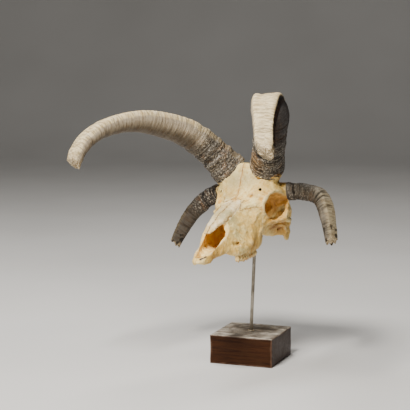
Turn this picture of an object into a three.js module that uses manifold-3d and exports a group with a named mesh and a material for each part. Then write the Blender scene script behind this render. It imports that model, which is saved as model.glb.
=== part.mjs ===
// A four-horned ram's skull, life size, on its museum mount: a steel rod in a wooden block.
// Millimetres, +Z up, the block's underside on z = 0 and its middle at x = y = 0.
//
// The skull has axes of its own: +x to the animal's left, +y to its nape, +z to its crown.
// Its origin lies between the occipital condyles, on the level of the tooth sockets.

import * as THREE from 'three';
import { ConvexGeometry } from 'three/addons/geometries/ConvexGeometry.js';
import { LoftGeometry } from 'three/addons/geometries/LoftGeometry.js';
import { NURBSCurve } from 'three/addons/curves/NURBSCurve.js';
import { mergeVertices } from 'three/addons/utils/BufferGeometryUtils.js';
import Module from 'manifold-3d';

const wasm = await Module();
wasm.setup();

// ---------- driving dimensions ----------

const SKULL_LENGTH = 232;        // front of the upper jaw to the condyles
const GAP = 0.3;                 // between two pieces that meet
const LEFT = 1;
const RIGHT = -1;

const BLOCK_WIDTH = 94;
const BLOCK_DEPTH = 96;
const BLOCK_HEIGHT = 42;
const BLOCK_BEVEL = 1.2;

const ROD_DIAMETER = 5;
const ROD_IN_BLOCK = 16;
const ROD_LEAN_DEG = 2.2;        // the rod leans to the animal's left
const ROD_LEAN_TOWARDS_DEG = 20.3;
const ROD_LENGTH = 168;          // from its foot in the block to its end in the skull base
const ROD_SIDES = 20;

const SKULL_PLACE = new THREE.Vector3(5.7, 64.4, 161.5);
const SKULL_TILT_DEG = -5.51;    // the left side of the head is the higher one
const SKULL_YAW_DEG = -7.32;

const HEAD_RING_POINTS = 14;
const LARGE_BALL = { radius: 11, sides: 6, bands: 4 };
const SMALL_BALL = { sides: 4, bands: 3 };

const ORBIT_CENTRE = new THREE.Vector3(47.1, -65.4, 62.2);
const ORBIT_AXIS = new THREE.Vector3(0.967, -0.237, -0.089).normalize();
const ORBIT_RADIUS = 18.6;
const ORBIT_RIM = 3;
const ORBIT_OVAL = 1.3;          // length of the eye's opening along the skull over its height
const ORBIT_DEPTH = 30;
const ORBIT_SPOKES = 10;
const RIM_SIDES = 4;

// The right eye stands closer to the midline than the left: how far, round which place, how far
// that reaches, and between which distances from the midline it sets in.
const RIGHT_EYE_INWARD = 9;
const RIGHT_EYE_AREA = { place: new THREE.Vector3(-47, -78, 68), reach: 43 };
const INWARD_FROM = { none: 12, full: 30 };
// The snout bends a little to the animal's left, ahead of these places.
const SNOUT_BEND = 1.2;
const SNOUT_BEND_FROM = { none: 180, full: 216 };

const TOOTH_ROW_FRONT = -163.5;
const TOOTH_ROW_X = [27.2, 29.8];  // middle of the row at its first and its last tooth
const TOOTH_TIP_Z = -5;
const TOOTH_ROOT_Z = 9;
const TOOTH_ROW_RISE = 4.2;       // the row curves up towards its rear end, from these places on
const TOOTH_ROW_RISES = { none: -140, full: -104 };
const TOOTH_SIDES = 5;
const TOOTH_TAPER = { root: 0.62, tip: 0.4 };   // radius at each end over the tooth's length
const TOOTH_LENGTHS = [5.3, 6.6, 7, 10.2, 11.8, 12.8];
const TOOTH_WIDTHS = [6.5, 8.5, 9.5, 11, 11, 9.5];

const UPPER_HORN_RINGS = 28;
const LOWER_HORN_RINGS = 14;
const WRINKLE_AT_BASE = 1.1;
const WRINKLE_AT_TIP = 0.25;
const WRINKLES_FADE_BY = 0.62;   // shares of the horn's length
const TIP_FROM = 0.9;

// ---------- colours ----------

const BONE = new THREE.MeshStandardMaterial({ name: 'bone', color: 0xe0cfa6, roughness: 0.62 });
const NASAL_BONE = new THREE.MeshStandardMaterial({ name: 'nasal_bone', color: 0xdcd8cc, roughness: 0.6 });
const HORN = new THREE.MeshStandardMaterial({ name: 'horn', color: 0x8f8474, roughness: 0.7 });
const STEEL = new THREE.MeshStandardMaterial({ name: 'steel', color: 0x8d867b, roughness: 0.35, metalness: 1 });
const WOOD = new THREE.MeshStandardMaterial({ name: 'wood', color: 0x3b211a, roughness: 0.55 });

// ---------- solids and cuts ----------

// The closed solid that a geometry bounds, for joins and cuts.
function solid(geometry) {
    const bare = geometry.index ? geometry.toNonIndexed() : geometry.clone();
    bare.deleteAttribute('normal');
    bare.deleteAttribute('uv');
    const welded = mergeVertices(bare, 1e-4);
    const mesh = new wasm.Mesh({
        numProp: 3,
        vertProperties: new Float32Array(welded.attributes.position.array),
        triVerts: new Uint32Array(welded.index.array),
    });
    return new wasm.Manifold(mesh);
}

// The geometry of a solid, with flat facets.
function geometryOf(body) {
    const mesh = body.getMesh();
    const geometry = new THREE.BufferGeometry();
    const positions = new Float32Array((mesh.vertProperties.length / mesh.numProp) * 3);
    for (let i = 0; i < positions.length / 3; i++) {
        for (let axis = 0; axis < 3; axis++) {
            positions[3 * i + axis] = mesh.vertProperties[mesh.numProp * i + axis];
        }
    }
    geometry.setAttribute('position', new THREE.BufferAttribute(positions, 3));
    geometry.setIndex(new THREE.BufferAttribute(new Uint32Array(mesh.triVerts), 1));
    geometry.computeVertexNormals();
    return geometry;
}

function joined(bodies) {
    return bodies.reduce((whole, body) => whole.add(body));
}

// The largest closed shell of a geometry, without the crumbs that a cut can leave.
function mainShell(geometry) {
    const corners = geometry.index.array;
    const parent = Array.from({ length: geometry.attributes.position.count }, (_, i) => i);
    const shellOf = (corner) => {
        let i = corner;
        while (parent[i] !== i) {
            parent[i] = parent[parent[i]];
            i = parent[i];
        }
        return i;
    };
    for (let i = 0; i < corners.length; i += 3) {
        parent[shellOf(corners[i])] = shellOf(corners[i + 1]);
        parent[shellOf(corners[i + 1])] = shellOf(corners[i + 2]);
    }
    const shells = new Map();
    for (let i = 0; i < corners.length; i += 3) {
        const shell = shellOf(corners[i]);
        shells.set(shell, [...(shells.get(shell) ?? []), corners[i], corners[i + 1], corners[i + 2]]);
    }
    const largest = [...shells.values()].reduce((a, b) => (b.length > a.length ? b : a));
    const bare = geometry.clone();
    bare.setIndex(largest);
    const shell = mergeVertices(bare.toNonIndexed().deleteAttribute('normal'), 1e-5);
    shell.computeVertexNormals();
    return shell;
}

// A place on the head as it really grew: not quite even from side to side.
function grown(x, y, z) {
    const fromEye = RIGHT_EYE_AREA.place.distanceTo(new THREE.Vector3(x, y, z));
    const nearEye = 1 - THREE.MathUtils.smoothstep(fromEye, 0, RIGHT_EYE_AREA.reach);
    const outside = THREE.MathUtils.smoothstep(-x, INWARD_FROM.none, INWARD_FROM.full);
    const bend = SNOUT_BEND * THREE.MathUtils.smoothstep(-y, SNOUT_BEND_FROM.none, SNOUT_BEND_FROM.full);
    return new THREE.Vector3(x + RIGHT_EYE_INWARD * nearEye * outside + bend, y, z);
}

// The hull of a few balls, each given as x, y, z and radius. Every x is multiplied by across:
// 1 on the animal's left and -1 on its right.
function hullGeometry(across, ...balls) {
    const points = [];
    for (const [x, y, z, radius] of balls) {
        const { sides, bands } = radius < LARGE_BALL.radius ? SMALL_BALL : LARGE_BALL;
        const ball = new THREE.SphereGeometry(radius, sides, bands);
        const middle = grown(across * x, y, z);
        ball.translate(middle.x, middle.y, middle.z);
        for (let i = 0; i < ball.attributes.position.count; i++) {
            points.push(new THREE.Vector3().fromBufferAttribute(ball.attributes.position, i));
        }
    }
    return new ConvexGeometry(points);
}

function hull(across, ...balls) {
    return solid(hullGeometry(across, ...balls));
}

// A bar that runs from ball to ball.
function bar(across, ...balls) {
    const lengths = [];
    for (let i = 0; i + 1 < balls.length; i++) {
        lengths.push(hull(across, balls[i], balls[i + 1]));
    }
    return joined(lengths);
}

// A flat outline in a side view, given as y and z, run through from one x to another.
function sideSlab(outline, fromX, toX) {
    const shape = new THREE.Shape(outline.map(([y, z]) => new THREE.Vector2(y, z)));
    const slab = new THREE.ExtrudeGeometry(shape, { depth: toX - fromX, bevelEnabled: false });
    const basis = new THREE.Matrix4().makeBasis(
        new THREE.Vector3(0, 1, 0),
        new THREE.Vector3(0, 0, 1),
        new THREE.Vector3(1, 0, 0),
    );
    slab.applyMatrix4(basis);
    slab.translate(fromX, 0, 0);
    return solid(slab);
}

// The half-space behind a plane, as a large box.
function halfSpace(point, normal) {
    const size = 1200;
    const box = new THREE.BoxGeometry(size, size, size);
    box.translate(0, 0, -size / 2);
    const turn = new THREE.Quaternion().setFromUnitVectors(new THREE.Vector3(0, 0, 1), normal);
    box.applyQuaternion(turn);
    box.translate(point.x, point.y, point.z);
    return solid(box);
}

// ---------- the head as one mass ----------

// One nasal bone's outline seen from above, on the left: half-width and y.
const NASAL_OUTLINE = [[2.2, -198], [4.6, -194], [6.6, -188], [8.8, -180], [11.4, -171], [14, -161.5],
    [15.6, -148], [16.5, -117], [12, -105]];
const NASAL_REAR_Y = -95;
const NASAL_FRONT_Y = -206;
const NASAL_SLOPE_DEG = 20.5;
const NASAL_TIP = { y: -192, z: 42.6 };
const NASAL_BELOW = 8.5;
const NASAL_ABOVE = 21.5;

// The notch beside the nasal bone ends at this y and starts at this height.
const NOTCH_REAR_Y = -166;
const NOTCH_FLOOR_Z = 41;

// Well outside the head, for cuts that run right through it.
const HEAD_HALF_WIDTH = 40;
const AHEAD_OF_SNOUT_Y = -262;
const BESIDE_CHEEK_X = 90;

// Sections of the head. crown and floor are heights on the midline;
// shoulder, flank and edge are a half-width and a height each, from top to bottom.
const HEAD_SECTIONS = [
    { y: -SKULL_LENGTH, crown: 6.6, shoulder: [1.6, 6.6], flank: [3, 5.6], edge: [2, 3.8], floor: 4 },
    { y: -SKULL_LENGTH + 10, crown: 14, shoulder: [7.6, 13], flank: [11, 8], edge: [9.4, 1.6], floor: 4 },
    { y: -212, crown: 25, shoulder: [10.4, 20], flank: [13.2, 9.6], edge: [12.2, 1.8], floor: 4.8 },
    { y: -204, crown: 34, shoulder: [10.6, 28], flank: [13.6, 14.5], edge: [12.6, 5.2], floor: 7 },
    { y: -188, crown: 45, shoulder: [10, 39.5], flank: [15.4, 23.5], edge: [14.8, 8.2], floor: 10 },
    { y: -178, crown: 50.5, shoulder: [11.5, 45], flank: [18.5, 27], edge: [18.4, 10], floor: 11.4 },
    { y: -171, crown: 54, shoulder: [12.6, 48.4], flank: [22.4, 26.5], edge: [22.6, 11.6], floor: 13 },
    { y: -164, crown: 57, shoulder: [14, 51], flank: [26.4, 25], edge: [29.5, 4.6], floor: 9 },
    { y: -150, crown: 62.4, shoulder: [15, 57], flank: [31.5, 24], edge: [32, 4.8], floor: 8 },
    { y: -118, crown: 72.5, shoulder: [18, 66], flank: [36.5, 36], edge: [32.5, 5.6], floor: 8.6 },
    { y: -105, crown: 75.5, shoulder: [21, 71], flank: [36.5, 46], edge: [32, 7.4], floor: 10 },
    { y: -95, crown: 78.2, shoulder: [26, 76], flank: [38, 56], edge: [24, 12], floor: 11 },
    { y: -87, crown: 86.5, shoulder: [30, 83], flank: [36, 60], edge: [17, 20], floor: 17 },
    { y: -80, crown: 95, shoulder: [34, 90], flank: [32, 62], edge: [15, 26], floor: 22 },
    { y: -71, crown: 109, shoulder: [38, 98], flank: [29, 64], edge: [14, 30], floor: 26 },
    { y: -62, crown: 125.5, shoulder: [42, 106], flank: [29, 64], edge: [16, 32], floor: 27 },
    { y: -45, crown: 125, shoulder: [44, 101], flank: [33, 62], edge: [19, 33], floor: 27 },
    { y: -15, crown: 97, shoulder: [31, 82], flank: [35, 56], edge: [24, 33], floor: 28 },
    { y: -4, crown: 81, shoulder: [25, 71], flank: [32, 51], edge: [20, 34], floor: 31 },
    { y: 4, crown: 70, shoulder: [18, 64], flank: [24, 52], edge: [14, 38], floor: 36 },
];

// The hollow of the nose, open at the front and closed between the eyes.
const NASAL_CAVITY_SECTIONS = [
    { y: -224, crown: 20, shoulder: [5, 17], flank: [6.5, 12], edge: [5, 8.6], floor: 8 },
    { y: -200, crown: 34, shoulder: [7.4, 28], flank: [11.6, 19], edge: [9.4, 13], floor: 12.4 },
    { y: -180, crown: 44.5, shoulder: [8.5, 37], flank: [14.6, 25], edge: [12.6, 16.6], floor: 16 },
    { y: -160, crown: 53.5, shoulder: [10.5, 46], flank: [20, 28], edge: [16, 15.5], floor: 15 },
    { y: -130, crown: 61, shoulder: [12, 52], flank: [21, 30], edge: [17, 15], floor: 14 },
    { y: -104, crown: 58, shoulder: [7, 53], flank: [10, 38], edge: [7, 24], floor: 22 },
];

function headRing({ y, crown, shoulder, flank, edge, floor }) {
    const half = [shoulder, flank, edge];
    const outline = [grown(0, y, crown)];
    half.forEach(([x, z]) => outline.push(grown(x, y, z)));
    outline.push(grown(0, y, floor));
    half.reverse().forEach(([x, z]) => outline.push(grown(-x, y, z)));
    const curve = new THREE.CatmullRomCurve3(outline, true);
    return curve.getPoints(HEAD_RING_POINTS).slice(0, HEAD_RING_POINTS);
}

function headLoft(sections) {
    return solid(new LoftGeometry(sections.map(headRing), { capStart: true, capEnd: true }));
}

// Widens a round shape along the skull, about the eye's middle.
function eyeOval(side) {
    const middle = grown(side * ORBIT_CENTRE.x, ORBIT_CENTRE.y, ORBIT_CENTRE.z);
    const angle = side * Math.atan2(ORBIT_AXIS.y, ORBIT_AXIS.x);
    return new THREE.Matrix4().makeTranslation(middle.x, middle.y, middle.z)
        .multiply(new THREE.Matrix4().makeRotationZ(angle))
        .multiply(new THREE.Matrix4().makeScale(1, ORBIT_OVAL, 1))
        .multiply(new THREE.Matrix4().makeRotationZ(-angle))
        .multiply(new THREE.Matrix4().makeTranslation(-middle.x, -middle.y, -middle.z));
}

// The bony ring round the eye, and what carries it: tear bone, brow, postorbital bar and cheek arch.
function eyeSocket(side) {
    const rim = new THREE.TorusGeometry(ORBIT_RADIUS + ORBIT_RIM, ORBIT_RIM, RIM_SIDES, ORBIT_SPOKES);
    const axis = ORBIT_AXIS.clone();
    axis.x *= side;
    const middle = grown(side * ORBIT_CENTRE.x, ORBIT_CENTRE.y, ORBIT_CENTRE.z);
    rim.applyQuaternion(new THREE.Quaternion().setFromUnitVectors(new THREE.Vector3(0, 0, 1), axis));
    rim.translate(middle.x, middle.y, middle.z);
    rim.applyMatrix4(eyeOval(side));
    const tearBone = hull(side, [37, -88, 60, 4.5], [37.5, -86, 70, 4], [39, -84, 43, 5],
        [17, -112, 65, 4], [29, -116, 40, 6], [28, -108, 18, 5]);
    const brow = hull(side, [40, -83, 76, 4], [47, -67, 83, 4], [49.5, -51, 81, 4.5],
        [22, -88, 82, 5], [34, -58, 98, 9], [42, -42, 88, 8]);
    const postorbitalBar = bar(side, [48, -40, 82, 6], [53, -36.5, 68, 3.8], [52.6, -43, 55, 3.4],
        [53, -49, 43, 4]);
    const cheekArch = bar(side, [37, -91, 40, 5], [47.5, -64, 41.6, 4], [53.4, -43, 39.6, 3.8],
        [49, -28, 38.4, 4.2], [34, -22, 43, 8]);
    const facialCrest = bar(side, [30.5, -138, 17, 4.4], [34.6, -131, 18.4, 5], [36.5, -92, 38, 5]);
    const jawEnd = hull(side, [33.5, -95.5, 22, 4.6], [29, -92.5, 13, 4.4], [29, -102, 8, 3.8],
        [34, -106, 26, 5], [26, -94, 22, 4.6]);
    return joined([solid(rim), tearBone, brow, postorbitalBar, cheekArch, facialCrest, jawEnd]);
}

function eyeHollow(side) {
    const at = distance => ORBIT_CENTRE.clone().addScaledVector(ORBIT_AXIS, distance);
    const mouth = at(7);
    const middle = at(-8);
    const depth = at(-ORBIT_DEPTH);
    const bowl = hullGeometry(side,
        [mouth.x, mouth.y, mouth.z, ORBIT_RADIUS + 0.8],
        [middle.x, middle.y, middle.z, ORBIT_RADIUS - 2],
        [depth.x, depth.y, depth.z, 7]);
    return solid(bowl.applyMatrix4(eyeOval(side)));
}

// The underside at the back: condyle, paracondylar process, ear bulla and ear canal, wing of the palate.
function skullBase(side) {
    const braincaseFloor = hull(side, [0, -62, 28, 6], [21, -34, 22, 6], [20, -20, 23, 6],
        [0, -12, 30, 7.4], [26, -30, 36, 7]);
    const condyle = hull(side, [12, -3, 35, 8], [17, -1, 41, 7]);
    const plateRoot = hull(side, [29, -8, 46, 8], [33, -2.5, 34, 5.4], [31.5, -17, 33, 5],
        [34.4, -2.6, 20, 3.4], [32, -14, 20, 3.2]);
    const plateTip = hull(side, [34.4, -2.6, 20, 3.4], [32, -14, 20, 3.2], [33.2, -7.4, 8.4, 2.9]);
    const bulla = hull(side, [20, -29, 21, 6.4], [23, -18, 23, 6.4], [27, -15, 16.8, 4],
        [31, -9, 16.6, 3.4]);
    const earCanal = bar(side, [26, -23, 36, 7], [41, -20, 41, 5.5]);
    const pterygoid = hull(side, [13, -92, 12, 2.4], [14, -90, 28, 3], [12, -58, 26, 3], [11, -64, 15, 2]);
    const mastoid = hull(side, [34, -10, 66, 6], [37, -3, 50, 6], [20, -2, 50, 6], [34, -2, 30, 5]);
    return joined([braincaseFloor, condyle, plateRoot, plateTip, bulla, earCanal, pterygoid, mastoid]);
}

// The bone that the two horns of one side stand on.
function hornPedicles(side) {
    const upper = hull(side, [22, -45, 100, 22], [33, -52, 113, 21.5], [24, -58, 103, 14]);
    const lower = hull(side, [42, -38, 82, 12.6], [57, -34.8, 82, 12], [40, -38, 66, 8]);
    return upper.add(lower);
}

// One side's cheek teeth: three premolars and three molars, in a row that spreads to the rear.
function cheekTeeth(side) {
    const rowLength = TOOTH_LENGTHS.reduce((sum, length) => sum + length, 0);
    const teeth = [];
    let front = TOOTH_ROW_FRONT;
    TOOTH_LENGTHS.forEach((length, index) => {
        const along = (front - TOOTH_ROW_FRONT + length / 2) / rowLength;
        const middleX = THREE.MathUtils.lerp(...TOOTH_ROW_X, along);
        const middleY = front + length / 2;
        const rise = THREE.MathUtils.smoothstep(middleY, TOOTH_ROW_RISES.none, TOOTH_ROW_RISES.full);
        const tipZ = TOOTH_TIP_Z + TOOTH_ROW_RISE * rise;
        const crown = new THREE.CylinderGeometry(length * TOOTH_TAPER.root, length * TOOTH_TAPER.tip, 1, TOOTH_SIDES);
        crown.rotateX(Math.PI / 2);
        crown.scale(TOOTH_WIDTHS[index] / length, 1, TOOTH_ROOT_Z - tipZ);
        const middle = grown(side * middleX, middleY, (TOOTH_ROOT_Z + tipZ) / 2);
        crown.translate(middle.x, middle.y, middle.z);
        teeth.push(solid(crown));
        front += length;
    });
    return joined(teeth);
}

// The notch between a nasal bone's free edge and the upper jaw, seen from above.
function besideNasal(side) {
    const freeEdge = NASAL_OUTLINE.filter(([, y]) => y < NOTCH_REAR_Y).map(([x, y]) => [x + GAP, y]);
    const [, rearY] = freeEdge[freeEdge.length - 1];
    const corners = [[GAP, NASAL_FRONT_Y], ...freeEdge, [HEAD_HALF_WIDTH, rearY],
        [HEAD_HALF_WIDTH, AHEAD_OF_SNOUT_Y], [GAP, AHEAD_OF_SNOUT_Y]];
    const outline = new THREE.Shape(corners.map(([x, y]) => new THREE.Vector2(side * x, y)));
    const prism = new THREE.ExtrudeGeometry(outline, { depth: HEAD_HALF_WIDTH, bevelEnabled: false });
    prism.translate(0, 0, NOTCH_FLOOR_Z);
    return solid(prism);
}

// Everything open in the dry skull.
function openings() {
    const noseGap = sideSlab([[-160.5, 50.5], [-168.5, 36.5], [-184, 26], [-205, 17.5], [-225, 11.8],
        [AHEAD_OF_SNOUT_Y, 10], [AHEAD_OF_SNOUT_Y, 80], [-198, 80], [-196.4, 45], [-190, 39.6], [-171, 47.4]],
    -HEAD_HALF_WIDTH, HEAD_HALF_WIDTH);
    const palateVault = hull(LEFT, [0, -190, -4, 11], [0, -165, -6, 14], [0, -110, -6, 15], [0, -84, -2, 13]);
    const choana = hull(LEFT, [0, -99, 14, 8], [0, -96, 22, 7.5], [0, -66, 16, 8.5], [0, -70, 0, 9]);
    const foramenMagnum = hull(LEFT, [0, 8, 47, 9.5], [0, -16, 49, 9]);
    const holes = [headLoft(NASAL_CAVITY_SECTIONS), noseGap, palateVault, choana, foramenMagnum];
    for (const side of [LEFT, RIGHT]) {
        const palateSlit = hull(side, [4.8, -222, 0, 1.8], [5.8, -204, 0, 2.2], [4.8, -222, 14, 1.8],
            [5.8, -204, 14, 2.2]);
        const cheekHole = hull(side, [25.5, -150, 21.5, 2.2], [33, -162, 20.5, 2.6]);
        const browHole = hull(side, [24, -62, 86.8, 1.6], [34, -84, 88.7, 1.9]);
        const earHole = hull(side, [40, -20, 41, 3], [50, -18, 43, 3.4]);
        const temple = hull(side, [47, -27, 62, 5], [40, -25, 60, 6], [49, -29, 48, 3.6], [41, -33, 52, 5]);
        holes.push(besideNasal(side), eyeHollow(side), palateSlit, cheekHole, browHole, earHole, temple);
    }
    return joined(holes);
}

// ---------- horns ----------

// Control points of each pair of horns on the left side, and what the left horn adds to them.
const UPPER_HORN = {
    route: [[31, -50, 114.7], [57.7, -82.1, 168.7], [86, -136.8, 194], [111.4, -208.3, 208],
        [139.3, -272, 185.1], [143.9, -286, 152.8]],
    leftDiffers: [[0.2, 0.3, 1.4], [-0.7, -0.4, -1.5], [2.2, 1.1, 13], [-0.1, 0, 10.4], [-1.9, -1.3, -11.7],
        [-1, 0.2, -2.5]],
    coilCentre: [85, -170, 90],
    width: [[0, 51], [0.04, 50], [0.08, 48], [0.35, 47], [0.55, 40], [0.75, 33], [0.9, 28], [1, 26]],
    depth: [[0, 50], [0.04, 48], [0.08, 44], [0.35, 36.5], [0.55, 31], [0.85, 22.5], [1, 18.5]],
    rings: UPPER_HORN_RINGS,
    tipSlant: 8,
};

const LOWER_HORN = {
    route: [[57.1, -34.6, 83.2], [81, -34.2, 75.5], [89.4, -37.8, 62.4], [106.6, -41.4, 54.4],
        [126.2, -58.9, 11.4]],
    leftDiffers: [[-0.6, -0.5, -3.1], [0.7, 0.5, 4.2], [6.5, -0.1, 12], [8.5, 1, 15], [-0.1, -0.5, -2.9]],
    coilCentre: [70, -45, 5],
    width: [[0, 27], [0.1, 25.5], [0.4, 24.5], [0.65, 22.5], [0.85, 19.5], [1, 17]],
    depth: [[0, 27], [0.1, 25.5], [0.4, 24.5], [0.65, 22], [0.85, 18.5], [1, 16]],
    rings: LOWER_HORN_RINGS,
    tipSlant: 1,
};

// A horn's section, flat on the outer face and narrow on the inner: outward and sideways, of size 1.
const HORN_SECTION = new THREE.CatmullRomCurve3([
    new THREE.Vector3(0.48, 0, 0),
    new THREE.Vector3(0.44, 0.33, 0),
    new THREE.Vector3(0.12, 0.5, 0),
    new THREE.Vector3(-0.3, 0.37, 0),
    new THREE.Vector3(-0.5, 0, 0),
    new THREE.Vector3(-0.3, -0.37, 0),
    new THREE.Vector3(0.12, -0.5, 0),
    new THREE.Vector3(0.44, -0.33, 0),
], true);
const HORN_SECTION_POINTS = 10;

function between(stations, at) {
    const next = Math.max(1, stations.findIndex(([station]) => station >= at));
    const [fromAt, fromValue] = stations[next - 1];
    const [toAt, toValue] = stations[next];
    return THREE.MathUtils.mapLinear(at, fromAt, toAt, fromValue, toValue);
}

function hornCurve(side, { route, leftDiffers }) {
    const points = route.map(([x, y, z], index) => {
        const [dx, dy, dz] = side === LEFT ? leftDiffers[index] : [0, 0, 0];
        return new THREE.Vector4(side * (x + dx), y + dy, z + dz, 1);
    });
    const degree = 3;
    const spans = points.length - degree;
    const knots = [0, 0, 0];
    for (let i = 0; i <= spans; i++) {
        knots.push(i / spans);
    }
    knots.push(1, 1, 1);
    return new NURBSCurve(degree, knots, points);
}

// A horn as a loft along its curve, grown all round by the given amount.
function horn(side, spec, grow = 0) {
    const curve = hornCurve(side, spec);
    const coilCentre = new THREE.Vector3(side * spec.coilCentre[0], spec.coilCentre[1], spec.coilCentre[2]);
    const sections = [];
    for (let ring = 0; ring <= spec.rings; ring++) {
        const at = ring / spec.rings;
        const middle = curve.getPointAt(at);
        const along = curve.getTangentAt(at);
        const outward = middle.clone().sub(coilCentre);
        outward.addScaledVector(along, -outward.dot(along)).normalize();
        const sideways = new THREE.Vector3().crossVectors(along, outward);
        const smoothness = Math.min(1, at / WRINKLES_FADE_BY);
        const wrinkleHeight = THREE.MathUtils.lerp(WRINKLE_AT_BASE, WRINKLE_AT_TIP, smoothness);
        const wrinkle = (ring % 2 ? 1 : -1) * wrinkleHeight / 2;
        const depth = between(spec.depth, at) + wrinkle + 2 * grow;
        const width = between(spec.width, at) + wrinkle + 2 * grow;
        const slant = spec.tipSlant * Math.max(0, (at - TIP_FROM) / (1 - TIP_FROM));
        const points = HORN_SECTION.getPoints(HORN_SECTION_POINTS).slice(0, HORN_SECTION_POINTS);
        sections.push(points.map(point => middle.clone()
            .addScaledVector(outward, point.x * depth)
            .addScaledVector(sideways, point.y * width)
            .addScaledVector(along, -point.x * slant + (ring === 0 ? -grow : 0))));
    }
    return solid(new LoftGeometry(sections, { capStart: true, capEnd: true }));
}

// ---------- the mount ----------

function woodenBlock() {
    const half = { x: BLOCK_WIDTH / 2 - BLOCK_BEVEL, y: BLOCK_DEPTH / 2 - BLOCK_BEVEL };
    const outline = new THREE.Shape([
        new THREE.Vector2(-half.x, -half.y),
        new THREE.Vector2(half.x, -half.y),
        new THREE.Vector2(half.x, half.y),
        new THREE.Vector2(-half.x, half.y),
    ]);
    const block = new THREE.ExtrudeGeometry(outline, {
        depth: BLOCK_HEIGHT - 2 * BLOCK_BEVEL,
        bevelThickness: BLOCK_BEVEL,
        bevelSize: BLOCK_BEVEL,
        bevelSegments: 1,
    });
    block.translate(0, 0, BLOCK_BEVEL);
    return block;
}

// The rod, grown all round by the given amount.
function rod(grow = 0) {
    const radius = ROD_DIAMETER / 2 + grow;
    const cylinder = new THREE.CylinderGeometry(radius, radius, ROD_LENGTH + 2 * grow, ROD_SIDES);
    cylinder.rotateX(Math.PI / 2);
    cylinder.translate(0, 0, ROD_LENGTH / 2 - ROD_IN_BLOCK);
    cylinder.rotateY(THREE.MathUtils.degToRad(ROD_LEAN_DEG));
    cylinder.rotateZ(THREE.MathUtils.degToRad(ROD_LEAN_TOWARDS_DEG));
    cylinder.translate(0, 0, BLOCK_HEIGHT);
    return cylinder;
}

// ---------- parting the head along its sutures ----------

function nasalRegion(side, grow = 0) {
    const inner = GAP / 2 - grow;
    const run = 1 / Math.cos(THREE.MathUtils.degToRad(NASAL_SLOPE_DEG));
    const corner = (x, y) => new THREE.Vector2(side * x, (y - NASAL_TIP.y) * run);
    const outerEdge = NASAL_OUTLINE.map(([x, y]) => corner(x + grow, y + grow));
    const shape = new THREE.Shape([
        corner(inner, NASAL_FRONT_Y),
        ...outerEdge,
        corner(inner, NASAL_REAR_Y + grow),
    ]);
    const slab = new THREE.ExtrudeGeometry(shape, { depth: NASAL_BELOW + NASAL_ABOVE + grow, bevelEnabled: false });
    slab.translate(0, 0, -NASAL_BELOW - grow);
    slab.rotateX(THREE.MathUtils.degToRad(NASAL_SLOPE_DEG));
    slab.translate(0, NASAL_TIP.y, NASAL_TIP.z);
    return solid(slab);
}

// The cheekbone seen from the side: the lower rim of the eye socket and the front of the arch.
const CHEEKBONE_OUTLINE = [[-97, 27], [-97, 47], [-85, 55], [-66, 58], [-53, 66], [-37, 66], [-37, 34],
    [-67, 28], [-84, 23]];
const CHEEKBONE_INNER_X = 35;

function cheekboneRegion(side, grow = 0) {
    const middle = [-67, 47];
    const outline = CHEEKBONE_OUTLINE.map(([y, z]) => [
        y + grow * Math.sign(y - middle[0]),
        z + grow * Math.sign(z - middle[1]),
    ]);
    const inner = CHEEKBONE_INNER_X - grow;
    return side === LEFT ? sideSlab(outline, inner, BESIDE_CHEEK_X) : sideSlab(outline, -BESIDE_CHEEK_X, -inner);
}

// What lies in front of the suture between forehead and face, on one side.
function faceRegion(side, grow = 0) {
    const onSuture = [
        new THREE.Vector3(side * 16.3, -116, 63),
        new THREE.Vector3(side * 40, -87, 67),
        new THREE.Vector3(side * 12, -93, 10),
    ];
    const across = onSuture[1].clone().sub(onSuture[0]);
    const down = onSuture[2].clone().sub(onSuture[0]);
    const normal = new THREE.Vector3().crossVectors(across, down).normalize();
    if (normal.y < 0) {
        normal.negate();
    }
    const behind = onSuture[0].clone().addScaledVector(normal, grow);
    const midline = new THREE.Vector3(side * (GAP / 2 - grow), 0, 0);
    return halfSpace(behind, normal).intersect(halfSpace(midline, new THREE.Vector3(-side, 0, 0)));
}

// What lies in front of the suture between upper jaw and front jaw.
function frontJawRegion(grow = 0) {
    const onSuture = new THREE.Vector3(0, -194, 5);
    const normal = new THREE.Vector3(0, 0.8, -0.6);
    return halfSpace(onSuture.addScaledVector(normal, grow), normal);
}

const SIDE_NAMES = [['left', LEFT], ['right', RIGHT]];
const hornSpecs = { upper: UPPER_HORN, lower: LOWER_HORN };
const bones = {};
const horns = {};

const masses = [headLoft(HEAD_SECTIONS)];
for (const side of [LEFT, RIGHT]) {
    masses.push(eyeSocket(side));
    masses.push(skullBase(side));
    masses.push(cheekTeeth(side));
    masses.push(hornPedicles(side));
}
let head = joined(masses).subtract(openings());
for (const side of [LEFT, RIGHT]) {
    for (const spec of Object.values(hornSpecs)) {
        head = head.subtract(horn(side, spec, GAP));
    }
}

const skull = new THREE.Group();
skull.position.copy(SKULL_PLACE);
skull.rotation.set(0, THREE.MathUtils.degToRad(SKULL_TILT_DEG), THREE.MathUtils.degToRad(SKULL_YAW_DEG), 'ZYX');
skull.updateMatrixWorld(true);
const rodInSkull = rod(GAP).applyMatrix4(skull.matrixWorld.clone().invert());
head = head.subtract(solid(rodInSkull));

for (const [name, side] of SIDE_NAMES) {
    bones[`nasal_${name}`] = head.intersect(nasalRegion(side));
    bones[`cheekbone_${name}`] = head.intersect(cheekboneRegion(side));
    for (const [level, spec] of Object.entries(hornSpecs)) {
        horns[`horn_${level}_${name}`] = horn(side, spec);
    }
}
for (const side of [LEFT, RIGHT]) {
    head = head.subtract(nasalRegion(side, GAP)).subtract(cheekboneRegion(side, GAP));
}
for (const [name, side] of SIDE_NAMES) {
    const face = head.intersect(faceRegion(side));
    bones[`front_jaw_${name}`] = face.intersect(frontJawRegion());
    bones[`upper_jaw_${name}`] = face.subtract(frontJawRegion(GAP));
}
bones.cranium = head.subtract(faceRegion(LEFT, GAP)).subtract(faceRegion(RIGHT, GAP));

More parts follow.
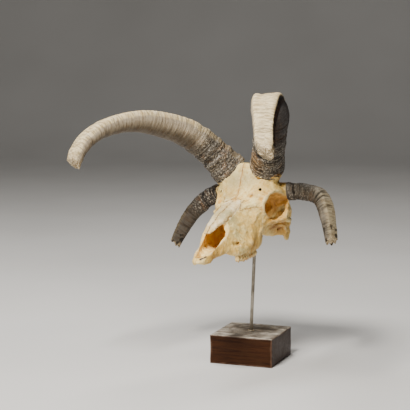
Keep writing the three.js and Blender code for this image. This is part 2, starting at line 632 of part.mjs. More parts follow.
function addMesh(parent, name, geometry, material) {
    const mesh = new THREE.Mesh(geometry, material);
    mesh.name = name;
    parent.add(mesh);
}

for (const [name, body] of Object.entries(bones)) {
    const material = name.startsWith('nasal') ? NASAL_BONE : BONE;
    addMesh(skull, name, mainShell(geometryOf(body)), material);
}
for (const [name, body] of Object.entries(horns)) {
    addMesh(skull, name, geometryOf(body), HORN);
}

const ramSkull = new THREE.Group();
ramSkull.add(skull);
addMesh(ramSkull, 'stand_rod', rod(), STEEL);
addMesh(ramSkull, 'stand_block', geometryOf(solid(woodenBlock()).subtract(solid(rod(GAP)))), WOOD);

export default ramSkull;
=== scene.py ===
"""Four-horned ram's skull on its museum mount: looks, floor, light and camera.

The skull is modelled in millimetres on axes of its own, +x to the animal's left, +y to its
nape and +z to its crown, and each finished piece is then put in its place in metres.
"""
import math

import bmesh
import bpy
import numpy as np
from mathutils import Matrix, Vector
from mathutils.bvhtree import BVHTree
from mathutils.kdtree import KDTree


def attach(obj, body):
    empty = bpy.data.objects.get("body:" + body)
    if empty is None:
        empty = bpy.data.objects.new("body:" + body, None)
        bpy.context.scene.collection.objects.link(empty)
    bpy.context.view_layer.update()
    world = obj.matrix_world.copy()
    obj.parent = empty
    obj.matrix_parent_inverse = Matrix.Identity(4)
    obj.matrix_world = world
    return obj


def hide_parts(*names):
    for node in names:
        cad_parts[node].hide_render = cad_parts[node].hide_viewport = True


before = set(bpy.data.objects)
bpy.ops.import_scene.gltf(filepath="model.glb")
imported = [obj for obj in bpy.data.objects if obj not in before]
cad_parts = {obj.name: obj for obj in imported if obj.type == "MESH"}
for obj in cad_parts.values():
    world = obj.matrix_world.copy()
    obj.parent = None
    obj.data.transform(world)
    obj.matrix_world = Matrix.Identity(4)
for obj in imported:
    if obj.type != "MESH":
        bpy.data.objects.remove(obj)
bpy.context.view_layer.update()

MM = 0.001
LEFT, RIGHT = 1, -1
SIDES = (("left", LEFT), ("right", RIGHT))
SUTURE_GAP = 0.35
HORN_GAP = 0.25

SKULL_PLACE = Vector((5.7, 64.4, 161.5))
SKULL_TURN = (Matrix.Rotation(math.radians(-7.32), 4, "Z")
              @ Matrix.Rotation(math.radians(-5.51), 4, "Y"))
SKULL_TO_WORLD = (Matrix.Scale(MM, 4) @ Matrix.Translation(SKULL_PLACE) @ SKULL_TURN)
MM_TO_WORLD = Matrix.Scale(MM, 4)

ORBIT_CENTRE = np.array((47.1, -65.4, 62.2))
ORBIT_AXIS = np.array((0.967, -0.237, -0.089))
ORBIT_AXIS /= np.linalg.norm(ORBIT_AXIS)
ORBIT_OVAL = 1.3
# The way the eye is widened, and its bowl: how far out along the axis, and how wide.
ORBIT_LONG_WAY = np.array((0.24, 0.97, 0))
ORBIT_BOWL = ((7, 20.2), (0, 19.6), (-8, 17.8), (-15, 15), (-22, 11.6), (-28, 8), (-31, 5))

BLOCK = (94, 96, 42)
BLOCK_BEVEL = 1.2
ROD_RADIUS = 2.5
ROD_IN_BLOCK = 16
ROD_LENGTH = 168
ROD_LEAN = math.radians(2.2)
ROD_LEAN_TOWARDS = math.radians(20.3)

dice = np.random.default_rng(11)


# ---------- numbers spread over a surface ----------

LATTICE = dice.random((32, 32, 32))


def roughness_at(points, size):
    """Soft random heights from -1 to 1 whose bumps are about `size` apart."""
    cell = np.asarray(points) / np.asarray(size)
    low = np.floor(cell).astype(int)
    part = cell - low
    part = part * part * (3 - 2 * part)
    total = np.zeros(len(cell))
    for corner in np.ndindex(2, 2, 2):
        share = np.prod(np.where(np.array(corner) == 1, part, 1 - part), axis=1)
        at = (low + corner) % len(LATTICE)
        total += share * LATTICE[at[:, 0], at[:, 1], at[:, 2]]
    return 2 * total - 1


def ramp(values, low, high):
    """0 below low, 1 above high, and a smooth way between."""
    part = np.clip((np.asarray(values) - low) / (high - low), 0, 1)
    return part * part * (3 - 2 * part)


def bump(points, centre, radius):
    """1 at the centre, fading to 0 at the radius."""
    apart = np.linalg.norm(points - np.asarray(centre, float), axis=1)
    return 1 - ramp(apart / radius, 0, 1)


def line_distance(points, line):
    """How far each point is from a line of straight lengths."""
    nearest = np.full(len(points), 1e9)
    for start, end in zip(line[:-1], line[1:]):
        start, run = np.array(start, float), np.array(end, float) - np.array(start, float)
        share = np.clip((points - start) @ run / (run @ run), 0, 1)
        nearest = np.minimum(nearest, np.linalg.norm(points - start - share[:, None] * run, axis=1))
    return nearest


def spots(points, table):
    """The sum of soft spots, each a height, a middle and a reach."""
    return sum(height * bump(points, middle, reach) for height, middle, reach in table)


def near_line(points, line, start, end):
    """1 along a line, fading to 0 from one distance to another."""
    return 1 - ramp(line_distance(points, line), start, end)


def both_sides(points):
    """The points as if all of them lay on the animal's left."""
    return points * np.where(points[:, :1] < 0, (-1, 1, 1), (1, 1, 1))


# ---------- meshes ----------

def smooth_way(p0, p1, p2, p3, t):
    """The share t of a smooth curve's way from p1 to p2, with p0 before them and p3 behind."""
    return 0.5 * (2 * p1 + (p2 - p0) * t + (2 * p0 - 5 * p1 + 4 * p2 - p3) * t**2
                  + (3 * p1 - p0 - 3 * p2 + p3) * t**3)


def closed_curve(corners, count):
    """Points at even shares of a smooth closed curve through the corners."""
    corners = np.asarray(corners, float)
    share = np.arange(count) / count * len(corners)
    first = np.floor(share).astype(int)
    around = (corners[(first + step) % len(corners)] for step in (-1, 0, 1, 2))
    return smooth_way(*around, (share - first)[:, None])


def points_of(mesh):
    """The points of a mesh, one row each."""
    flat = np.empty(len(mesh.vertices) * 3, np.float32)
    mesh.vertices.foreach_get("co", flat)
    return flat.reshape(-1, 3).astype(float)


def normals_of(mesh):
    """The directions out of a mesh at its points."""
    flat = np.empty(len(mesh.vertices) * 3, np.float32)
    mesh.vertex_normals.foreach_get("vector", flat)
    return flat.reshape(-1, 3).astype(float)


def set_points(mesh, points):
    mesh.vertices.foreach_set("co", np.asarray(points, np.float32).ravel())
    mesh.update()


def neighbour_mean(mesh, values, rounds):
    """The values, each mixed with its neighbours' mean a number of times."""
    edges = np.empty(len(mesh.edges) * 2, np.int32)
    mesh.edges.foreach_get("vertices", edges)
    a, b = edges.reshape(-1, 2).T
    ends, others = np.concatenate((a, b)), np.concatenate((b, a))
    count = np.maximum(np.bincount(ends, minlength=len(mesh.vertices)), 1)
    values = np.array(values, float).reshape(len(mesh.vertices), -1)
    for _ in range(rounds):
        total = [np.bincount(ends, column[others], len(mesh.vertices)) for column in values.T]
        values = 0.5 * values + 0.5 * np.stack(total, 1) / count[:, None]
    return values


def hollowness(mesh, rounds):
    """How far each point lies in a hollow (above 0) or on a ridge (below 0), in millimetres."""
    points = points_of(mesh)
    soft = neighbour_mean(mesh, points, rounds)
    return np.sum((soft - points) * normals_of(mesh), axis=1)


def object_from(bm, name):
    mesh = bpy.data.meshes.new(name)
    bm.to_mesh(mesh)
    bm.free()
    piece = bpy.data.objects.new(name, mesh)
    bpy.context.scene.collection.objects.link(piece)
    return piece


def apply_modifier(piece, kind, **settings):
    """Changes a piece's mesh by one modifier, for good."""
    modifier = piece.modifiers.new(kind.lower(), kind)
    for key, value in settings.items():
        setattr(modifier, key, value)
    ready = piece.evaluated_get(bpy.context.evaluated_depsgraph_get())
    mesh = bpy.data.meshes.new_from_object(ready)
    piece.modifiers.clear()
    old, piece.data = piece.data, mesh
    bpy.data.meshes.remove(old)
    return piece


def drop(piece):
    mesh = piece.data
    bpy.data.objects.remove(piece)
    bpy.data.meshes.remove(mesh)


def carve(piece, tool, operation="DIFFERENCE"):
    """Cuts a piece with a tool, which is then gone."""
    apply_modifier(piece, "BOOLEAN", operation=operation, object=tool, solver="MANIFOLD")
    drop(tool)
    return piece


def copy_of(piece, name):
    twin = bpy.data.objects.new(name, piece.data.copy())
    bpy.context.scene.collection.objects.link(twin)
    return twin


def flat_face(corners):
    """One face through the corners."""
    bm = bmesh.new()
    made = bmesh.ops.create_circle(bm, cap_ends=True, segments=len(corners), radius=1)
    for vert, corner in zip(made["verts"], corners):
        vert.co = corner
    return bm


def draw_out(bm, run, triangles=True):
    """Draws a sheet out into a closed body."""
    grown = bmesh.ops.extrude_face_region(bm, geom=bm.faces[:])
    moved = [item for item in grown["geom"] if isinstance(item, bmesh.types.BMVert)]
    bmesh.ops.translate(bm, verts=moved, vec=run)
    if triangles:
        bmesh.ops.triangulate(bm, faces=bm.faces)
    bmesh.ops.recalc_face_normals(bm, faces=bm.faces)
    return bm


def sleeve(around, along, place):
    """A closed skin: a flat grid, which place() wraps round from its shares around and along."""
    bm = bmesh.new()
    bm.loops.layers.uv.new("wrap")
    bmesh.ops.create_grid(bm, x_segments=around, y_segments=along, size=0.5, calc_uvs=True)
    flat = np.array([vert.co[:2] for vert in bm.verts])
    share = (flat - flat.min(0)) / (flat.max(0) - flat.min(0))
    for vert, point in zip(bm.verts, place(share[:, 0], share[:, 1])):
        vert.co = point
    bmesh.ops.remove_doubles(bm, verts=bm.verts, dist=1e-3)
    bmesh.ops.dissolve_degenerate(bm, edges=bm.edges, dist=1e-4)
    bmesh.ops.recalc_face_normals(bm, faces=bm.faces)
    return bm


class Mass:
    """Closed shells that overlap, to be fused into one."""

    def __init__(self):
        self.bm = bmesh.new()

    def take(self, bm):
        part = bpy.data.meshes.new("part")
        bm.to_mesh(part)
        bm.free()
        self.bm.from_mesh(part)
        bpy.data.meshes.remove(part)

    def hull(self, across, *balls):
        """The hull of balls given as x, y, z and radius. Across is 1, or -1 to mirror them."""
        bm = bmesh.new()
        for x, y, z, radius in balls:
            bmesh.ops.create_icosphere(bm, subdivisions=3, radius=radius,
                                       matrix=Matrix.Translation((across * x, y, z)))
        bmesh.ops.delete(bm, geom=bm.edges[:] + bm.faces[:], context="EDGES_FACES")
        made = bmesh.ops.convex_hull(bm, input=bm.verts)
        spare = {item for item in made["geom_interior"] + made["geom_unused"]
                 if isinstance(item, bmesh.types.BMVert)}
        bmesh.ops.delete(bm, geom=list(spare), context="VERTS")
        bmesh.ops.recalc_face_normals(bm, faces=bm.faces)
        self.take(bm)

    def bar(self, across, *balls):
        """A bar from ball to ball."""
        for first, second in zip(balls[:-1], balls[1:]):
            self.hull(across, first, second)

    def fused(self, name, voxel, rounds):
        """One piece of all shells, in steps of the voxel size, smoothed some rounds."""
        piece = object_from(self.bm, name)
        apply_modifier(piece, "REMESH", mode="VOXEL", voxel_size=voxel)
        return apply_modifier(piece, "SMOOTH", factor=0.5, iterations=rounds)


# ---------- the head as one mass ----------

# One nasal bone's outline seen from above, on the left: half-width and y.
NASAL_OUTLINE = ((2.2, -198), (4.6, -194), (6.6, -188), (8.8, -180), (11.4, -171), (14, -161.5),
                 (15.6, -148), (16.5, -117), (12, -105))
NASAL_REAR_Y = -95
NASAL_SLOPE = math.radians(20.5)
NASAL_TIP = Vector((0, -192, 42.6))
NASAL_BELOW = 8.5

# y, crown, shoulder x z, flank x z, edge x z, floor: half-widths and heights of each section.
HEAD_SECTIONS = np.array((
    (-232, 6.6, 1.6, 6.6, 3, 5.6, 2, 3.8, 4),
    (-228, 9.4, 4.5, 9.4, 7.6, 6.6, 6, 3, 4),
    (-222, 14, 7.6, 13, 11, 8, 9.4, 1.6, 4),
    (-212, 25, 10.4, 20, 13.2, 9.6, 12.2, 1.8, 4.8),
    (-204, 34, 10.6, 28, 13.6, 14.5, 12.6, 5.2, 7),
    (-196, 40, 10, 34.5, 14, 20, 12.8, 6.6, 8.4),
    (-188, 45, 10, 39.5, 15.4, 23.5, 14.8, 8.2, 10),
    (-178, 50.5, 11.5, 45, 18.5, 27, 18.4, 10, 11.4),
    (-171, 54, 12.6, 48.4, 22.4, 26.5, 22.6, 11.6, 13),
    (-164, 57, 14, 51, 26.4, 25, 29.5, 4.6, 9),
    (-150, 62.4, 15, 57, 31.5, 24, 32, 4.8, 8),
    (-134, 68, 16, 62.5, 35.5, 24, 32.5, 4.8, 8),
    (-118, 72.5, 18, 66, 36.5, 36, 32.5, 5.6, 8.6),
    (-105, 75.5, 21, 71, 36.5, 46, 32, 7.4, 10),
    (-95, 78.2, 26, 76, 38, 56, 24, 12, 11),
    (-87, 86.5, 30, 83, 36, 60, 17, 20, 17),
    (-80, 95, 34, 90, 32, 62, 15, 26, 22),
    (-71, 109, 38, 98, 29, 64, 14, 30, 26),
    (-62, 125.5, 42, 106, 29, 64, 16, 32, 27),
    (-45, 125, 44, 101, 33, 62, 19, 33, 27),
    (-30, 114, 38, 93, 35, 59, 23, 34, 27),
    (-15, 97, 31, 82, 35, 56, 24, 33, 28),
    (-4, 81, 25, 71, 32, 51, 20, 34, 31),
    (4, 70, 18, 64, 24, 52, 14, 38, 36),
))

# The hollow of the nose, open at the front and closed between the eyes.
NOSE_SECTIONS = np.array((
    (-224, 20, 5, 17, 6.5, 12, 5, 8.6, 8),
    (-200, 34, 7.4, 28, 11.6, 19, 9.4, 13, 12.4),
    (-180, 44.5, 8.5, 37, 14.6, 25, 12.6, 16.6, 16),
    (-160, 53.5, 10.5, 46, 20, 28, 16, 15.5, 15),
    (-130, 61, 12, 52, 21, 30, 17, 15, 14),
    (-104, 58, 7, 53, 10, 38, 7, 24, 22),
))


def head_sleeve(sections):
    """A skin through sections, each a closed curve from crown to floor and back."""
    around, steps = 48, 4
    fine = np.linspace(0, len(sections) - 1, (len(sections) - 1) * steps + 1)
    before = np.clip(np.floor(fine).astype(int), 0, len(sections) - 2)
    nearby = (sections[np.clip(before + step, 0, len(sections) - 1)] for step in (-1, 0, 1, 2))
    rows = smooth_way(*nearby, (fine - before)[:, None])
    rings = []
    for y, crown, sx, sz, fx, fz, ex, ez, floor in rows:
        outline = closed_curve([(0, crown), (sx, sz), (fx, fz), (ex, ez), (0, floor),
                                (-ex, ez), (-fx, fz), (-sx, sz)], around)
        rings.append(np.column_stack((outline[:, 0], np.full(around, y), outline[:, 1])))
    rings = np.array([np.tile(rings[0].mean(0), (around, 1))] + rings
                     + [np.tile(rings[-1].mean(0), (around, 1))])

    def place(u, v):
        ring = np.rint(v * (len(rings) - 1)).astype(int)
        spoke = np.rint(u * around).astype(int) % around
        return rings[ring, spoke]

    return sleeve(around, len(rings) - 1, place)


def eye_ring(across, radius, thickness):
    """The bony ring round one eye."""
    axis = Vector(ORBIT_AXIS * (across, 1, 1))
    turn = Vector((0, 0, 1)).rotation_difference(axis).to_matrix().to_4x4()
    place = Matrix.Translation(ORBIT_CENTRE * (across, 1, 1)) @ turn
    bm = bmesh.new()
    circle = bmesh.ops.create_circle(bm, segments=20, radius=thickness,
                                     matrix=place @ Matrix.Translation((radius, 0, 0))
                                     @ Matrix.Rotation(math.pi / 2, 4, "X"))
    edges = list({edge for vert in circle["verts"] for edge in vert.link_edges})
    bmesh.ops.spin(bm, geom=circle["verts"] + edges, cent=place.translation, axis=axis,
                   angle=2 * math.pi, steps=72, use_merge=True)
    bmesh.ops.remove_doubles(bm, verts=bm.verts, dist=1e-3)
    bmesh.ops.transform(bm, verts=bm.verts, matrix=eye_oval(across))
    bmesh.ops.recalc_face_normals(bm, faces=bm.faces)
    return bm


def eye_oval(across):
    """Widens a round shape along the skull, about the eye's middle."""
    middle = Vector(ORBIT_CENTRE * (across, 1, 1))
    widen = Matrix.Scale(ORBIT_OVAL, 4, Vector(ORBIT_LONG_WAY * (across, 1, 1)).normalized())
    return Matrix.Translation(middle) @ widen @ Matrix.Translation(-middle)


def side_slab(outline, from_x, to_x, corners):
    """A smooth side outline, given as y and z, run through from one x to another."""
    edge = [(from_x, y, z) for y, z in closed_curve(outline, corners)]
    return draw_out(flat_face(edge), (to_x - from_x, 0, 0))


def build_mass():
    """The uncut head: skull body, eye rings, arches, skull base and horn pedicles."""
    mass = Mass()
    mass.take(head_sleeve(HEAD_SECTIONS))
    for side in (LEFT, RIGHT):
        mass.take(eye_ring(side, radius=21.8, thickness=2.5))
        # tear bone and the cheek in front of the eye
        mass.hull(side, (37, -88, 60, 4.5), (37.5, -86, 70, 4), (39, -84, 43, 5),
                  (17, -112, 65, 4), (29, -116, 40, 6), (28, -108, 18, 5))
        # brow
        mass.hull(side, (40, -83, 76, 3.6), (47, -67, 83, 3.6), (49.5, -51, 81, 4),
                  (22, -88, 82, 5), (34, -58, 98, 9), (42, -42, 88, 8))
        # bar behind the eye, then the arch
        mass.bar(side, (48, -40, 82, 6), (52, -36.5, 72, 4), (53, -36.5, 64, 3.3),
                 (52.6, -43, 55, 3.1), (53, -49, 43, 3.8))
        mass.bar(side, (37, -91, 40, 5), (43, -79, 40.4, 4), (47.5, -64, 41.6, 3.6),
                 (52, -52, 41.8, 3.6), (53.4, -43, 39.6, 3.6), (52.4, -35, 38, 3.5),
                 (49, -28, 38.4, 4), (41, -23, 41, 6), (32, -21, 44, 8))
        mass.bar(side, (53.4, -38, 62, 2.2), (54, -40, 52, 2), (53.6, -43, 41, 2.6))
        mass.hull(side, (46, -74, 44, 2.4), (50, -58, 47, 2.4), (44, -76, 39, 2.8),
                  (50, -55, 43, 2.8))
        mass.bar(side, (30, -138, 17, 4.4), (33.4, -131, 18.4, 5), (33.4, -118, 24, 4.6),
                 (34.6, -104, 31, 4.8), (36.5, -92, 38, 5))
        # rear end of the upper jaw above the last tooth
        mass.hull(side, (33.5, -95.5, 22, 4.6), (29, -92.5, 13, 4.4), (29, -102, 8, 3.8),
                  (34, -106, 26, 5), (26, -94, 22, 4.6), (32, -112, 10, 4))
        # floor of the braincase
        mass.hull(side, (0, -62, 28, 6), (14, -60, 26, 5), (21, -34, 22, 6), (20, -20, 23, 6),
                  (0, -12, 30, 8), (26, -30, 36, 7), (24, -46, 34, 6), (27, -13, 25, 5.4))
        # condyle, paracondylar process, bulla, ear canal, wing of the palate, mastoid
        mass.hull(side, (11, -3, 35.5, 7.6), (17, -1, 41, 6.6), (15.5, 0.4, 46, 5))
        mass.hull(side, (29, -8, 46, 9), (33, -2.5, 34, 5.4), (31.5, -17, 33, 5))
        mass.hull(side, (33, -2.5, 34, 5.4), (31.5, -17, 33, 5), (34.4, -2.6, 20, 3.4),
                  (32, -14, 20, 3.2))
        mass.hull(side, (34.4, -2.6, 20, 3.4), (32, -14, 20, 3.2), (33.6, -5.6, 8.4, 2.7),
                  (32.8, -9.2, 8.6, 2.6))
        mass.hull(side, (20, -30, 21, 6), (22.5, -19, 22, 6), (20, -24, 19.8, 5))
        mass.hull(side, (21, -27, 18.6, 4.4), (27, -15, 16.6, 3.6), (31, -9, 16.4, 3.4),
                  (28, -20, 27, 5))
        mass.bar(side, (31, -34, 31, 3.2), (35, -28, 31.6, 3), (37, -20, 27, 2.8), (36, -13, 20, 2.8))
        mass.bar(side, (26, -23, 36, 7), (34, -21, 39, 6), (41, -20, 41, 5))
        mass.hull(side, (13, -92, 12, 2.2), (14, -90, 28, 2.8), (12, -58, 26, 2.8),
                  (11, -64, 15, 1.8))
        mass.hull(side, (34, -10, 66, 6), (37, -3, 50, 6), (20, -2, 50, 6), (34, -2, 30, 5))
        # horn pedicles
        mass.hull(side, (22, -45, 100, 22), (33, -52, 113, 21.5), (24, -58, 103, 14))
        mass.hull(side, (42, -38, 82, 12.4), (57, -34.8, 82, 11.8), (40, -38, 66, 8))
        # hook at the rear end of the palate
        mass.bar(side, (11, -70, 20, 2.2), (10.5, -63, 12, 1.6), (11.5, -60, 8, 1.3))
    return mass.fused("mass", voxel=1.0, rounds=6)


def beside_nasal(side):
    """The notch between a nasal bone's free edge and the upper jaw, seen from above."""
    free_edge = [(x + 0.4, y) for x, y in NASAL_OUTLINE if y < -166]
    corners = [(0.6, -206)] + free_edge + [(30, free_edge[-1][1]), (30, -240), (0.6, -240)]
    bottom, height = 41, 44
    return draw_out(flat_face([(side * x, y, bottom) for x, y in corners]), (0, 0, height))


def build_hollows():
    """Everything open in the dry skull."""
    holes = Mass()
    holes.take(head_sleeve(NOSE_SECTIONS))
    holes.take(side_slab(((-160.5, 50.5), (-164, 43), (-168.5, 36.5), (-176, 30.5), (-184, 26),
                          (-195, 21.5), (-205, 17.5), (-215, 14), (-225, 11.8), (-234, 10.4),
                          (-262, 10), (-262, 45), (-250, 80), (-222, 82), (-202, 78),
                          (-197, 60), (-196.4, 45),
                          (-190, 39.6), (-180, 43.6), (-171, 47.4)), -40, 40, 76))
    for side in (LEFT, RIGHT):
        holes.take(beside_nasal(side))
    # the palate's vault, the rear opening of the nose, the spinal cord's opening
    holes.hull(LEFT, (0, -190, -4, 11), (0, -165, -6, 14), (0, -110, -6, 15), (0, -84, -2, 13))
    holes.hull(LEFT, (0, -99, 14, 8), (0, -96, 22, 7.5), (0, -66, 16, 8.5), (0, -70, 0, 9))
    holes.hull(LEFT, (0, 8, 47, 9.5), (0, -16, 49, 9))
    for side in (LEFT, RIGHT):
        socket = Mass()
        socket.hull(side, *[(*(ORBIT_CENTRE + ORBIT_AXIS * run), radius)
                            for run, radius in ORBIT_BOWL])
        bmesh.ops.transform(socket.bm, verts=socket.bm.verts, matrix=eye_oval(side))
        holes.take(socket.bm)
        # the socket's upper rear corner runs out to the bar
        holes.hull(side, (53, -45, 66, 6), (54, -42, 70, 5), (46, -52, 64, 12), (40, -54, 62, 8))
        # opening at the bottom of the eye socket, for the nerve
        holes.bar(side, (*(ORBIT_CENTRE - ORBIT_AXIS * 30 + (0, 6, -6)), 3), (12, -50, 52, 2.4))
        # slit in the front of the palate, then the holes below and above the eye
        holes.hull(side, (4.8, -222, 0, 1.5), (5.8, -204, 0, 2), (4.8, -222, 14, 1.5),
                   (5.8, -204, 14, 2))
        holes.bar(side, (25.5, -149.5, 21.4, 1.6), (28, -156, 21, 1.9), (33, -163, 20.5, 2.6))
        holes.bar(side, (24, -62, 86.8, 1.4), (29, -73.6, 87.9, 1.9), (34, -84, 88.7, 2.1))
        # ear opening
        holes.hull(side, (39, -20.5, 40.6, 2), (50, -18, 43, 3.2))
        # behind the arch: the temple's hollow reaches in under the horn pedicle
        holes.hull(side, (47, -27, 62, 5), (40, -25, 60, 6), (49, -29, 48, 3.6), (41, -33, 52, 5))
        # pit in the bone under the ear
        holes.hull(side, (26, -26, 25, 1.6), (37, -27.5, 25.4, 3), (36, -22, 22.6, 2.4))
        # tear duct at the front rim of the eye
        holes.bar(side, (41.5, -80, 58, 1.3), (34, -86, 54, 1.3))
    return holes.fused("hollows", voxel=0.8, rounds=3)


# Where the forehead's bones meet each other and the face, on the outside of one side.
SUTURES = (
    ((0, -50, 129), (0, -62, 126.5), (0, -71, 110), (0, -80, 96), (0, -87, 87.5), (0, -96, 79)),
    ((0, -96, 78.6), (8, -98, 77.6), (13, -104, 74.5), (16, -111.7, 71), (17.4, -118, 67.6)),
    ((17.4, -118, 67.6), (18.8, -121.8, 63.6), (24, -111, 65), (29.9, -103.5, 65.5),
     (40.1, -95.6, 64)),
)


def suture_distance(points):
    """How far each point of the head lies from the nearest suture."""
    one_side = both_sides(points)
    wobble = np.column_stack([roughness_at(points + shift, 4) for shift in (0, 40, 80)]) * 0.6
    near = np.min([line_distance(one_side + wobble, line) for line in SUTURES], axis=0)
    # round the nasal bones the sutures are plainest seen from above
    x, y, z = one_side.T
    outline = np.array(NASAL_OUTLINE)[:-1]
    edge = np.interp(y, outline[:, 1], outline[:, 0])
    aside = np.minimum(np.abs(x + wobble[:, 0] - edge), x + 0.3 * np.abs(wobble[:, 0]))
    on_top = (z > 40) & (y < -98) & (z > 78 + (y + 96) * 0.42)
    return np.where(on_top, np.minimum(near, aside), near)


# Relief on both sides: how far it rises (or sinks, below 0), its middle and its reach.
SWELLINGS = (
    (1.6, (14, -72, 104), 18),  # forehead
    (2.2, (38.2, -133, 18.3), 10),  # tuber of the cheek
    (1.3, (35, -106, 14), 12),  # above the last tooth
    (-1.5, (36.5, -98, 58), 11),  # pit in front of the eye
    (-1.1, (30, -146, 31), 14),  # side of the snout
)
# Relief on the left only, under the upper horn.
LEFT_SWELLINGS = ((-2.6, (24, -70, 110), 17), (-1.8, (52, -60, 102), 16))
# Furrows on both sides: how deep, how far from the line the fall ends and starts, and the line.
FURROWS = (
    # crease behind the tuber of the cheek
    (1.2, 0.3, 5, ((38.5, -112, 28), (38, -122, 19), (36, -131, 10))),
    # hollow in front of the opening below the eye
    (1.5, 0.5, 5, ((27, -165, 22), (33, -155, 21))),
    # from the hole above the eye down to the nose
    (0.8, 0.5, 3.2, ((28.5, -76, 92), (25.5, -84, 85), (22.5, -92, 80), (19, -102, 75))),
)
# A furrow above the right nasal bone.
OVER_NASAL = ((-30, -106, 67), (-22, -107, 71), (-13.4, -107, 74), (-6.4, -104, 76.6), (-1, -98, 78))
RIGHT_EYE_INWARD = 11.5
SNOUT_BEND = 1.2


def eye_place(one_side, as_round):
    """How far out from the eye's middle points lie, and how far from its axis."""
    from_eye = one_side - ORBIT_CENTRE
    out = from_eye @ ORBIT_AXIS
    if as_round:
        along_skull = from_eye @ ORBIT_LONG_WAY
        from_eye = from_eye - np.outer(along_skull * (1 - 1 / ORBIT_OVAL), ORBIT_LONG_WAY)
    return out, np.linalg.norm(from_eye - out[:, None] * ORBIT_AXIS, axis=1)


def sculpt(head):
    """Relief that a fused mass lacks: swellings, ridges, roots of teeth, rims, pits and lines."""
    mesh = head.data
    points = points_of(mesh)
    normals = normals_of(mesh)
    one_side = both_sides(points)
    x, y, z = points.T
    lift = spots(one_side, SWELLINGS) + spots(points, LEFT_SWELLINGS)
    for depth, start, end, line in FURROWS:
        lift -= depth * near_line(one_side, line, start, end)
    # the forehead's suture is a wandering thread, the others are plain grooves
    up_front = ramp(z, 70, 80) * (1 - ramp(y, -52, -46)) * ramp(y, -97, -93)
    wander = 0.9 * roughness_at(points * (0, 1, 1), 5) + 0.4 * roughness_at(points * (0, 1, 1), 2.2)
    lift -= 0.45 * up_front * (1 - ramp(np.abs(x + wander), 0.2, 1.1))
    lift -= 0.5 * (1 - ramp(suture_distance(points), 0.3, 1.6))
    # sockets of the cheek teeth show as upright ribs above the tooth row
    first, run, ribs = -164.5, 55.5, 6
    rib = np.cos((y - first) / run * 2 * math.pi * ribs)
    on_wall = ramp(np.abs(x), 22, 26) * ramp(y, -166, -160) * (1 - ramp(y, -104, -97))
    lift += 0.22 * rib * on_wall * ramp(z, -2, 3) * (1 - ramp(z, 9, 20))
    # the furrow above the right nasal bone has a raised edge
    over_nasal = line_distance(points, OVER_NASAL)
    lift -= 2.6 * (1 - ramp(over_nasal, 0.3, 4.5))
    lift += 1.6 * (1 - ramp(np.abs(over_nasal - 6), 0.3, 2.6)) * ramp(-x, 0, 4)
    # rough ridges at the back of the head
    rear = ramp(y, -14, -2)
    lift += rear * (0.9 * roughness_at(points, (9, 9, 4)) + 0.3 * roughness_at(points, 2.4))
    # pitted bone under each horn
    lift += 0.25 * roughness_at(points, 1.7) * bump(one_side, (38, -52, 108), 34)
    lift += 0.35 * roughness_at(points, 1.8) * bump(one_side, (52, -36, 82), 17)
    # the eye's rim is uneven, and so is the bone between the right eye and the nose
    out, radius = eye_place(one_side, False)
    on_rim = (1 - ramp(np.abs(radius - 19.5), 0.5, 4)) * ramp(out, -4, 0)
    lift += on_rim * (0.75 * roughness_at(points, 4.2) + 0.3 * roughness_at(points, 1.9))
    lift += 1.6 * roughness_at(points, 5) * bump(points, (-30, -95, 76), 24)
    # all bone is a little uneven
    for height, size in ((0.9, 15), (0.7, 6.2), (0.35, 2.8)):
        lift += height * roughness_at(points, size)
    points = points + normals * lift[:, None]
    # the head isn't quite even: the right eye stands closer in, the snout bends to the left
    inward = bump(points, (-46, -79, 71), 44) * ramp(-points[:, 0], 12, 30)
    points[:, 0] += RIGHT_EYE_INWARD * inward + SNOUT_BEND * ramp(-points[:, 1], 180, 216)
    set_points(mesh, points)


# ---------- parting the head along its sutures ----------

CHEEKBONE_OUTLINE = ((-97, 27), (-97, 47), (-85, 55), (-66, 58), (-53, 66), (-37, 66), (-37, 34),
                     (-67, 28), (-84, 23))


def nasal_region(side, grow=0.0):
    """The room one nasal bone takes: its outline seen from above, run through its thickness."""
    inner = SUTURE_GAP / 2 - grow
    run = 1 / math.cos(NASAL_SLOPE)
    outer = [(x + grow, y + grow) for x, y in NASAL_OUTLINE]
    corners = [(inner, -203)] + outer + [(inner, NASAL_REAR_Y + grow)]
    bm = flat_face([(side * x, (y - NASAL_TIP.y) * run, -NASAL_BELOW - grow) for x, y in corners])
    # the long edges get the small teeth of a suture
    long_edges = [edge for edge in bm.edges if max(abs(vert.co.x) for vert in edge.verts) > 3.5]
    bmesh.ops.subdivide_edges(bm, edges=long_edges, cuts=7)
    for vert in bm.verts:
        if abs(vert.co.x) > 3:
            wave = 0.45 * math.sin(vert.co.y * 0.9) + 0.3 * math.sin(vert.co.y * 2.3 + 1)
            vert.co.x += side * wave
    draw_out(bm, (0, 0, 30))
    bmesh.ops.transform(bm, verts=bm.verts,
                        matrix=Matrix.Translation(NASAL_TIP) @ Matrix.Rotation(NASAL_SLOPE, 4, "X"))
    return object_from(bm, "nasal_room")


def cheekbone_region(side, grow=0.0):
    """The room one cheekbone takes, from its inner edge out past the arch."""
    middle_y, middle_z = -67, 47
    outline = [(y + grow * math.copysign(1, y - middle_y), z + grow * math.copysign(1, z - middle_z))
               for y, z in CHEEKBONE_OUTLINE]
    return object_from(side_slab(outline, side * (35 - grow), side * 90, 54), "cheek_room")


